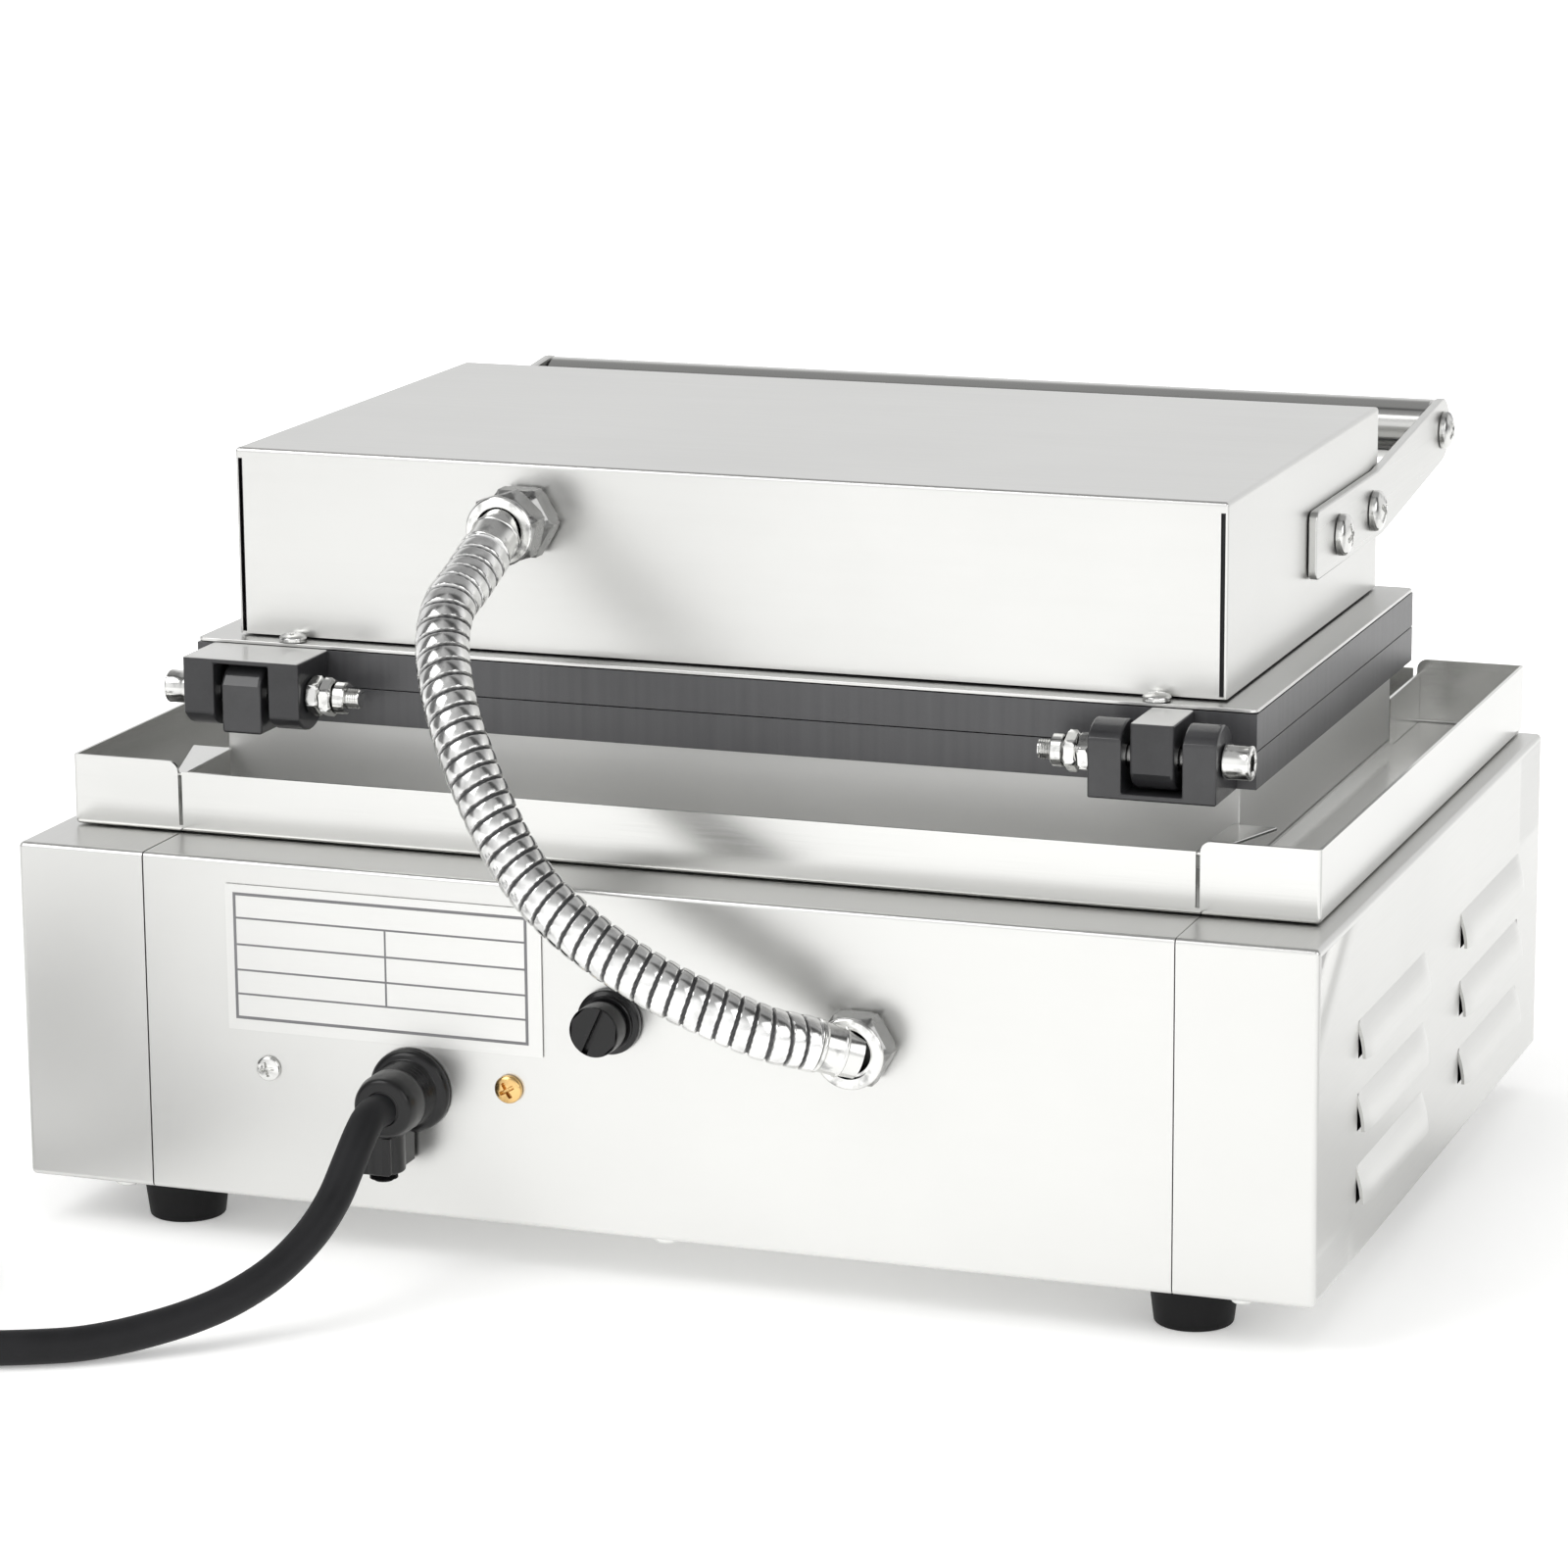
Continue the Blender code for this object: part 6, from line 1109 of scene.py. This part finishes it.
# Rating plate: thin satin foil, with a frame, rules and one divider printed on it and no words.
# Its faces are cells of one grid, so each printed line is a row or a column of cells in ink.
LABEL_X = (0.0295, 0.1250)
LABEL_Z = (0.0636, 0.1057)
LABEL_Y = (0.1363, 0.1367)
FRAME_X = (0.0336, 0.1227)
FRAME_Z = (0.0667, 0.1034)
FRAME_LINE = 0.00090
RULE = 0.00060
RULE_SHARES = (0.20, 0.41, 0.61, 0.80)
DIVIDER_SHARE = 0.52
RIM_FACES = 5
# Foil: pale and satin, a blurred mirror. The ink on it is flat grey.
foil = satin_stainless("satin_printed_foil", "X", "#DCDCDA", 0.42)
ink = moulded_material("printed_grey_ink", "#868688", "#929294", 0.6, 0.2, 0.004)
across_frame, up_frame = FRAME_X[1] - FRAME_X[0], FRAME_Z[1] - FRAME_Z[0]
divider = FRAME_X[1] - DIVIDER_SHARE * across_frame
rules = [FRAME_Z[1] - share * up_frame for share in RULE_SHARES]
label_xs = np.array(sorted([*LABEL_X, *FRAME_X, FRAME_X[0] + FRAME_LINE, FRAME_X[1] - FRAME_LINE,
                            divider - RULE / 2, divider + RULE / 2]))
label_zs = np.array(sorted([*LABEL_Z, *FRAME_Z, FRAME_Z[0] + FRAME_LINE, FRAME_Z[1] - FRAME_LINE,
                            *[z + step * RULE / 2 for z in rules for step in (-1, 1)]]))
x, z = np.meshgrid(label_xs, label_zs, indexing="xy")
face = np.stack([x, 0 * x + LABEL_Y[1], z], axis=-1)
edge_x = np.concatenate([[LABEL_X[0]] * 2, [LABEL_X[1]] * 2])
edge_z = np.array([LABEL_Z[0], LABEL_Z[1], LABEL_Z[1], LABEL_Z[0]])
rim = np.stack([np.column_stack([edge_x, np.full(4, y), edge_z]) for y in LABEL_Y])
label = surface_piece("rating_foil", [grid_patch(face, ring=False, flip=True), grid_patch(rim, caps=(0,))],
                      foil)
label.data.materials.append(ink)
middle_x, middle_z = (label_xs[1:] + label_xs[:-1]) / 2, (label_zs[1:] + label_zs[:-1]) / 2


def cells_within(inset):
    """Which of the label's cells lie inside its frame, moved in by an inset."""
    return np.outer((middle_z > FRAME_Z[0] + inset) & (middle_z < FRAME_Z[1] - inset),
                    (middle_x > FRAME_X[0] + inset) & (middle_x < FRAME_X[1] - inset))


on_rule = (np.abs(middle_z[:, None] - np.array(rules)[None]) < RULE / 2).any(axis=1)[:, None]
between_rules = ((middle_z < rules[0]) & (middle_z > rules[-1]))[:, None]
on_divider = (np.abs(middle_x - divider) < RULE / 2)[None] & between_rules
inside = cells_within(FRAME_LINE)
inked = (cells_within(0) & ~inside) | (inside & (on_rule | on_divider))
label.data.polygons.foreach_set("material_index", [*inked.astype(int).ravel().tolist(), *[0] * RIM_FACES])
fit(label, "base", "label_foil", "rating_label")


# Cord gland: a glossy black moulding with a domed flange, a ribbed neck and a clamp under it.
# The clamp has its own knurled screw, driven up from below.
GLAND_ROOT = (0.0696, 0.1363, 0.0506)
CLAMP_PLACE = (0.073, 0.14855, 0.0305)
# Nylon from a polished mould: black, with a thin gloss.
glossy = moulded_material("glossy_black_nylon", "#0C0C0D", "#131314", 0.34, 1.2, 0.015, coat=0.3)
neck_ribs = [(0.0092 - 0.0004 * (at % 2), 0.0040 + 0.0009 * at) for at in range(9)]
gland_rows = [(0.0, 0.0), (0.0117, 0.0), (0.0120, 0.0004), (0.0120, 0.0011),
              *arc_rows(0.0098, 0.0011, 0.0021, 15, 75), (0.0094, 0.0034), *neck_ribs, (0.0092, 0.0125),
              (0.0092, 0.0168), *arc_rows(0.0068, 0.0187, 0.0019, 0, 80), (0.0052, 0.0206), (0.0048, 0.0204),
              (0.0048, 0.0180), (0.0, 0.0180)]
clamp_rows = [(0.0, 0.0), (0.0052, 0.0), *arc_rows(0.0055, 0.0007, 0.0007, -60, 0, 3), (0.0062, 0.0080),
              (0.0062, 0.0160), (0.0, 0.0175)]
block = [(-0.0040, 0.0), (0.0040, 0.0), (0.0046, 0.0006), (0.0046, 0.0110), (-0.0046, 0.0110),
         (-0.0046, 0.0006)]
tab = np.array([(CLAMP_PLACE[0] - x, CLAMP_PLACE[2] + z) for x, z in block])
gland = surface_piece("gland_moulding", [spun(gland_rows, GLAND_ROOT, (0, 1, 0), sides=96),
                                         spun(clamp_rows, CLAMP_PLACE, (0, 0, 1), sides=64),
                                         prism(tab, "Y", 0.1372, CLAMP_PLACE[1] + 0.0058)], glossy)
fit(finish_sheet(gland, wall=0, edge=0.0003), "base", "black_plastic", "cord_gland")
knurl_ribs = [(0.0040 - 0.0003 * (at % 2), 0.0008 + 0.00022 * at) for at in range(9)]
knurl = [(0.0, 0.0), (0.0026, 0.0), (0.0027, 0.0006), *knurl_ribs, (0.0, 0.0027)]
clamp_screw = spun(knurl, (CLAMP_PLACE[0], CLAMP_PLACE[1], 0.0277), (0, 0, 1), sides=48)
fit(surface_piece("clamp_screw_head", [clamp_screw], glossy), "base", "bright_steel", "gland_clamp_screw")


# Fuse holder: a black bezel on the panel and a bayonet cap with a coin slot, which turns a quarter to open.
# Both are moulded in the same glossy nylon as the gland.
FUSE_ROOT = (0.0093, 0.1363, 0.076)
bezel_rows = [(0.0, 0.0), (0.0089, 0.0), (0.0092, 0.0004), (0.0092, 0.0016),
              *arc_rows(0.0083, 0.0018, 0.0009, 0, 75), (0.0078, 0.0032), (0.0078, 0.0041), (0.0075, 0.0044),
              (0.0, 0.0044)]
fit(surface_piece("fuse_bezel", [spun(bezel_rows, FUSE_ROOT, (0, 1, 0), sides=72)], glossy), "base",
    "black_plastic", "fuse_holder")
CAP_RADIUS, CAP_LENGTH, COIN_SLOT, COIN_DEPTH = 0.0072, 0.0080, 0.0008, 0.0018
CAP_FACE = 0.955
CAP_TURN = math.radians(25)


def slotted_face(root, turn):
    """A cap's round end face, drawn in lines along its slot: it steps down where a line is within the slot's
    half width of the middle."""
    slot_half = COIN_SLOT / CAP_RADIUS
    lines = np.array([-1.0, -0.75, -0.5, -0.25, -slot_half - 0.012, -slot_half, slot_half, slot_half + 0.012,
                      0.25, 0.5, 0.75, 1.0])
    depth = np.where(np.abs(lines) <= slot_half + 1e-9, COIN_DEPTH, 0)
    across = np.linspace(-1, 1, 24)
    u = lines[:, None] * CAP_FACE * np.ones(len(across))[None]
    v = np.sqrt(np.clip(CAP_FACE ** 2 - u ** 2, 0.0001, 1)) * across[None]
    place = np.stack([u * CAP_RADIUS, v * CAP_RADIUS, CAP_LENGTH - depth[:, None] + 0 * u], axis=-1)
    c, s = math.cos(turn), math.sin(turn)
    x, z = place[..., 0] * c - place[..., 1] * s, place[..., 0] * s + place[..., 1] * c
    top = np.stack([root[0] + x, root[1] + place[..., 2], root[2] + z], axis=-1)
    return grid_patch(top, ring=False)


cap_root = (FUSE_ROOT[0], FUSE_ROOT[1] + 0.0048, FUSE_ROOT[2])
cap_rows = [(0.0, 0.0), (CAP_RADIUS - 0.0005, 0.0), (CAP_RADIUS - 0.0005, 0.0018), (CAP_RADIUS, 0.0022),
            (CAP_RADIUS, CAP_LENGTH - 0.0007), (CAP_RADIUS * 0.99, CAP_LENGTH - 0.0002),
            (CAP_RADIUS * CAP_FACE, CAP_LENGTH)]
cap = surface_piece("fuse_bayonet_cap", [spun(cap_rows, cap_root, (0, 1, 0), sides=96),
                                         slotted_face(cap_root, CAP_TURN)], glossy)
fit(cap, "fuse_cap", "black_plastic", "fuse_cap")


# Panel screws: a brass earth screw, two plated ones on the panel and three on its lower edge.
# All have a domed head with a cross recess. The brass is warm yellow, and browner where it has dulled.
brass = plated_steel("bright_turned_brass", "#DDB87C", 0.22, "#B08A52")
add_screws("brass_earth_screw", [((0.0399, 0.1363, 0.0536), (0, 1, 0), 0.004, 0.0022, 30)], brass, "base",
           "brass", "earth_screw")
add_screws("rear_panel_screws", [((0.1132, 0.1362, 0.0528), (0, 1, 0), 0.0036, 0.0018, 10),
                                 ((0.0178, 0.1362, 0.0946), (0, 1, 0), 0.0026, 0.0013, 40),
                                 *[((x, 0.1300, 0.0138), (0, 0, -1), 0.0036, 0.0020, 25)
                                   for x in (0.162, -0.004, -0.169)]], nickel, "base", "bright_steel")


# Front controls: two fluted knobs on printed dials, two domed lamps and a rocker switch in its bezel.
# The knobs are phenolic, nearly black with broad, dull highlights; the print is an even, dull film.
CONTROL_Z = 0.062
FRONT = -HALF_DEPTH
KNOBS = (("thermostat", -0.03002, 300, [str(value) for value in range(50, 301, 50)]),
         ("timer", -0.09994, 330, [str(value) for value in range(6)]))
KNOB_RADIUS = 0.019
KNOB_COLUMNS = 144
FLUTES = 18
FLUTE_DEPTH = 0.035
FLUTE_SPAN = (0.0055, 0.0178)
TICK_NEAR, TICK_FAR, TICK_HALF = 0.0205, 0.0228, 0.00035
FIGURE_REACH, FIGURE_SIZE = 0.0262, 0.0046
matt = moulded_material("matt_black_phenolic", "#1C1C1D", "#272728", 0.46, 0.6, 0.03)
white_print = moulded_material("white_screen_print", "#E8E8E6", "#F0F0EE", 0.6, 0.3, 0.004)


def fluted_knob(root, way_y):
    """A knob turned from a profile of (share of its radius, height).
    Between the flutes' heights its radius is less by 3.5 percent of cos(18 a), where that is positive."""
    profile = np.array([(0.0, 0.0), (0.86, 0.0), (0.985, 0.0003), (1.0, 0.0012), (1.0, 0.0040),
                        (0.985, 0.0048), (0.95, 0.0052), (0.945, 0.0060), (0.90, 0.0165), (0.885, 0.0176),
                        (0.86, 0.0180), (0.0, 0.0180)])
    share, rise = profile[:, :1], profile[:, 1:]
    angle = np.linspace(0, math.tau, KNOB_COLUMNS, endpoint=False)[None]
    fluted = (rise > FLUTE_SPAN[0]) & (rise < FLUTE_SPAN[1])
    flute = 1 - FLUTE_DEPTH * np.clip(np.cos(FLUTES * angle), 0, 1) * fluted
    radii = KNOB_RADIUS * share * flute
    return grid_patch(np.stack([root[0] + radii * np.cos(angle), root[1] + way_y * (rise + 0 * angle),
                                root[2] - way_y * radii * np.sin(angle)], axis=-1))


def print_text(words, place, size):
    """Printed characters on the front face, as a flat mesh 0.05 mm proud of it."""
    text = bpy.data.curves.new("figure", "FONT")
    text.body = words
    text.size = size
    text.align_x = "CENTER"
    text.align_y = "CENTER"
    text.resolution_u = 3
    holder = bpy.data.objects.new("figure", text)
    bpy.context.scene.collection.objects.link(holder)
    bpy.context.view_layer.update()
    flat = bpy.data.meshes.new_from_object(holder)
    bpy.data.objects.remove(holder)
    flat.transform(Matrix.Translation(place) @ Matrix.Rotation(math.pi / 2, 4, "X"))
    return flat


def joined(name, meshes, material):
    """Several meshes as one object at the origin."""
    shape = bmesh.new()
    for mesh in meshes:
        shape.from_mesh(mesh)
    whole = bpy.data.meshes.new(name)
    shape.to_mesh(whole)
    shape.free()
    whole.materials.clear()
    whole.materials.append(material)
    piece = bpy.data.objects.new(name, whole)
    bpy.context.scene.collection.objects.link(piece)
    return piece


black_print = moulded_material("black_screen_print", "#19191A", "#202021", 0.6, 0.3, 0.004)
for name, x, sweep, numbers in KNOBS:
    root = (x, -0.1368, CONTROL_Z)
    ridge = prism([(x - 0.0035, CONTROL_Z - 0.0155), (x + 0.0035, CONTROL_Z - 0.0155),
                   (x + 0.0028, CONTROL_Z + 0.0158), (x - 0.0028, CONTROL_Z + 0.0158)], "Y", -0.1576, -0.1540)
    knob = surface_piece(f"{name}_dial_knob", [fluted_knob(root, -1), ridge], matt)
    fit(finish_sheet(knob, wall=0, edge=0.0004), f"{name}_knob", "black_plastic", f"{name}_knob")
    line = rectangle((x - 0.0005, CONTROL_Z + 0.0035), (x + 0.0005, CONTROL_Z + 0.0150))
    pointer = surface_piece(f"{name}_pointer", [prism(line, "Y", -0.15775, -0.15755)], white_print)
    fit(pointer, f"{name}_knob", "black_plastic")
    angles = math.pi / 2 - np.radians(sweep) * np.linspace(0, 1, len(numbers))
    ticks = [prism([(x + r * math.cos(a) - w * math.sin(a), CONTROL_Z + r * math.sin(a) + w * math.cos(a))
                    for r, w in rectangle((TICK_NEAR, -TICK_HALF), (TICK_FAR, TICK_HALF))], "Y",
                   -0.13606, -0.13598) for a in angles]
    fit(surface_piece(f"{name}_ticks", ticks, black_print), "base", "black_plastic")
    figures = [print_text(words, (x + FIGURE_REACH * math.cos(a), -0.13605,
                                  CONTROL_Z + FIGURE_REACH * math.sin(a)), FIGURE_SIZE)
               for words, a in zip(numbers, angles)]
    fit(joined(f"{name}_figures", figures, black_print), "base", "black_plastic")
LAMPS = (("heating_lamp", 0.03496, "green_lens", "#1E7A35"), ("power_lamp", 0.06498, "red_lens", "#B3160F"))


def lens_material(name, colour):
    """Clear coloured plastic: glossy, and deep, because a third of the light passes into it."""
    material, tree = start_material(name)
    shader = add_node(tree, "BsdfPrincipled", {"Base Color": linear(colour), "Roughness": 0.08,
                                               "Transmission Weight": 0.35, "Coat Weight": 0.6})
    add_node(tree, "OutputMaterial", {"Surface": shader.outputs[0]})
    return material


lens_rows = [(0.0, 0.0), (0.0050, 0.0), (0.0050, 0.0030), *arc_rows(0.0, 0.0005, 0.0050, 30, 90, 8)[:-1],
             (0.0, 0.0052)]
lamp_bezel_rows = [(0.0051, 0.0), (0.0065, 0.0), (0.0065, 0.0016), (0.0060, 0.0022), (0.0052, 0.0022),
                   (0.0051, 0.0)]
for name, x, slot_name, colour in LAMPS:
    dome = spun(lens_rows, (x, FRONT - 0.0001, CONTROL_Z), (0, -1, 0), sides=64)
    lens = surface_piece(f"{name}_lens", [dome], lens_material(slot_name.replace("_", "_clear_"), colour))
    fit(lens, "base", slot_name, name)
    bezel = spun(lamp_bezel_rows, (x, FRONT - 0.0003, CONTROL_Z), (0, -1, 0), sides=64)
    fit(surface_piece(f"{name}_bezel", [bezel], matt), "base", "black_plastic")
fit(softened_copy("switch_bezel", "rocker_bezel", matt, 0.0006), "base", "black_plastic", "switch_bezel")
fit(softened_copy("power_switch", "rocker", matt, 0.0008), "power_switch", "black_plastic", "power_switch")
coat_solids(matt, "thermostat_body", "timer_body")
# Glazed ceramic of the terminal block inside: off-white under a clear gloss.
ceramic = moulded_material("white_glazed_ceramic", "#D6D4CB", "#E4E2DA", 0.22, 1.5, 0.01, coat=0.5)
fit(softened_copy("terminal_block", "terminal_ceramic", ceramic, 0.0008), "base", "white_ceramic",
    "terminal_block")
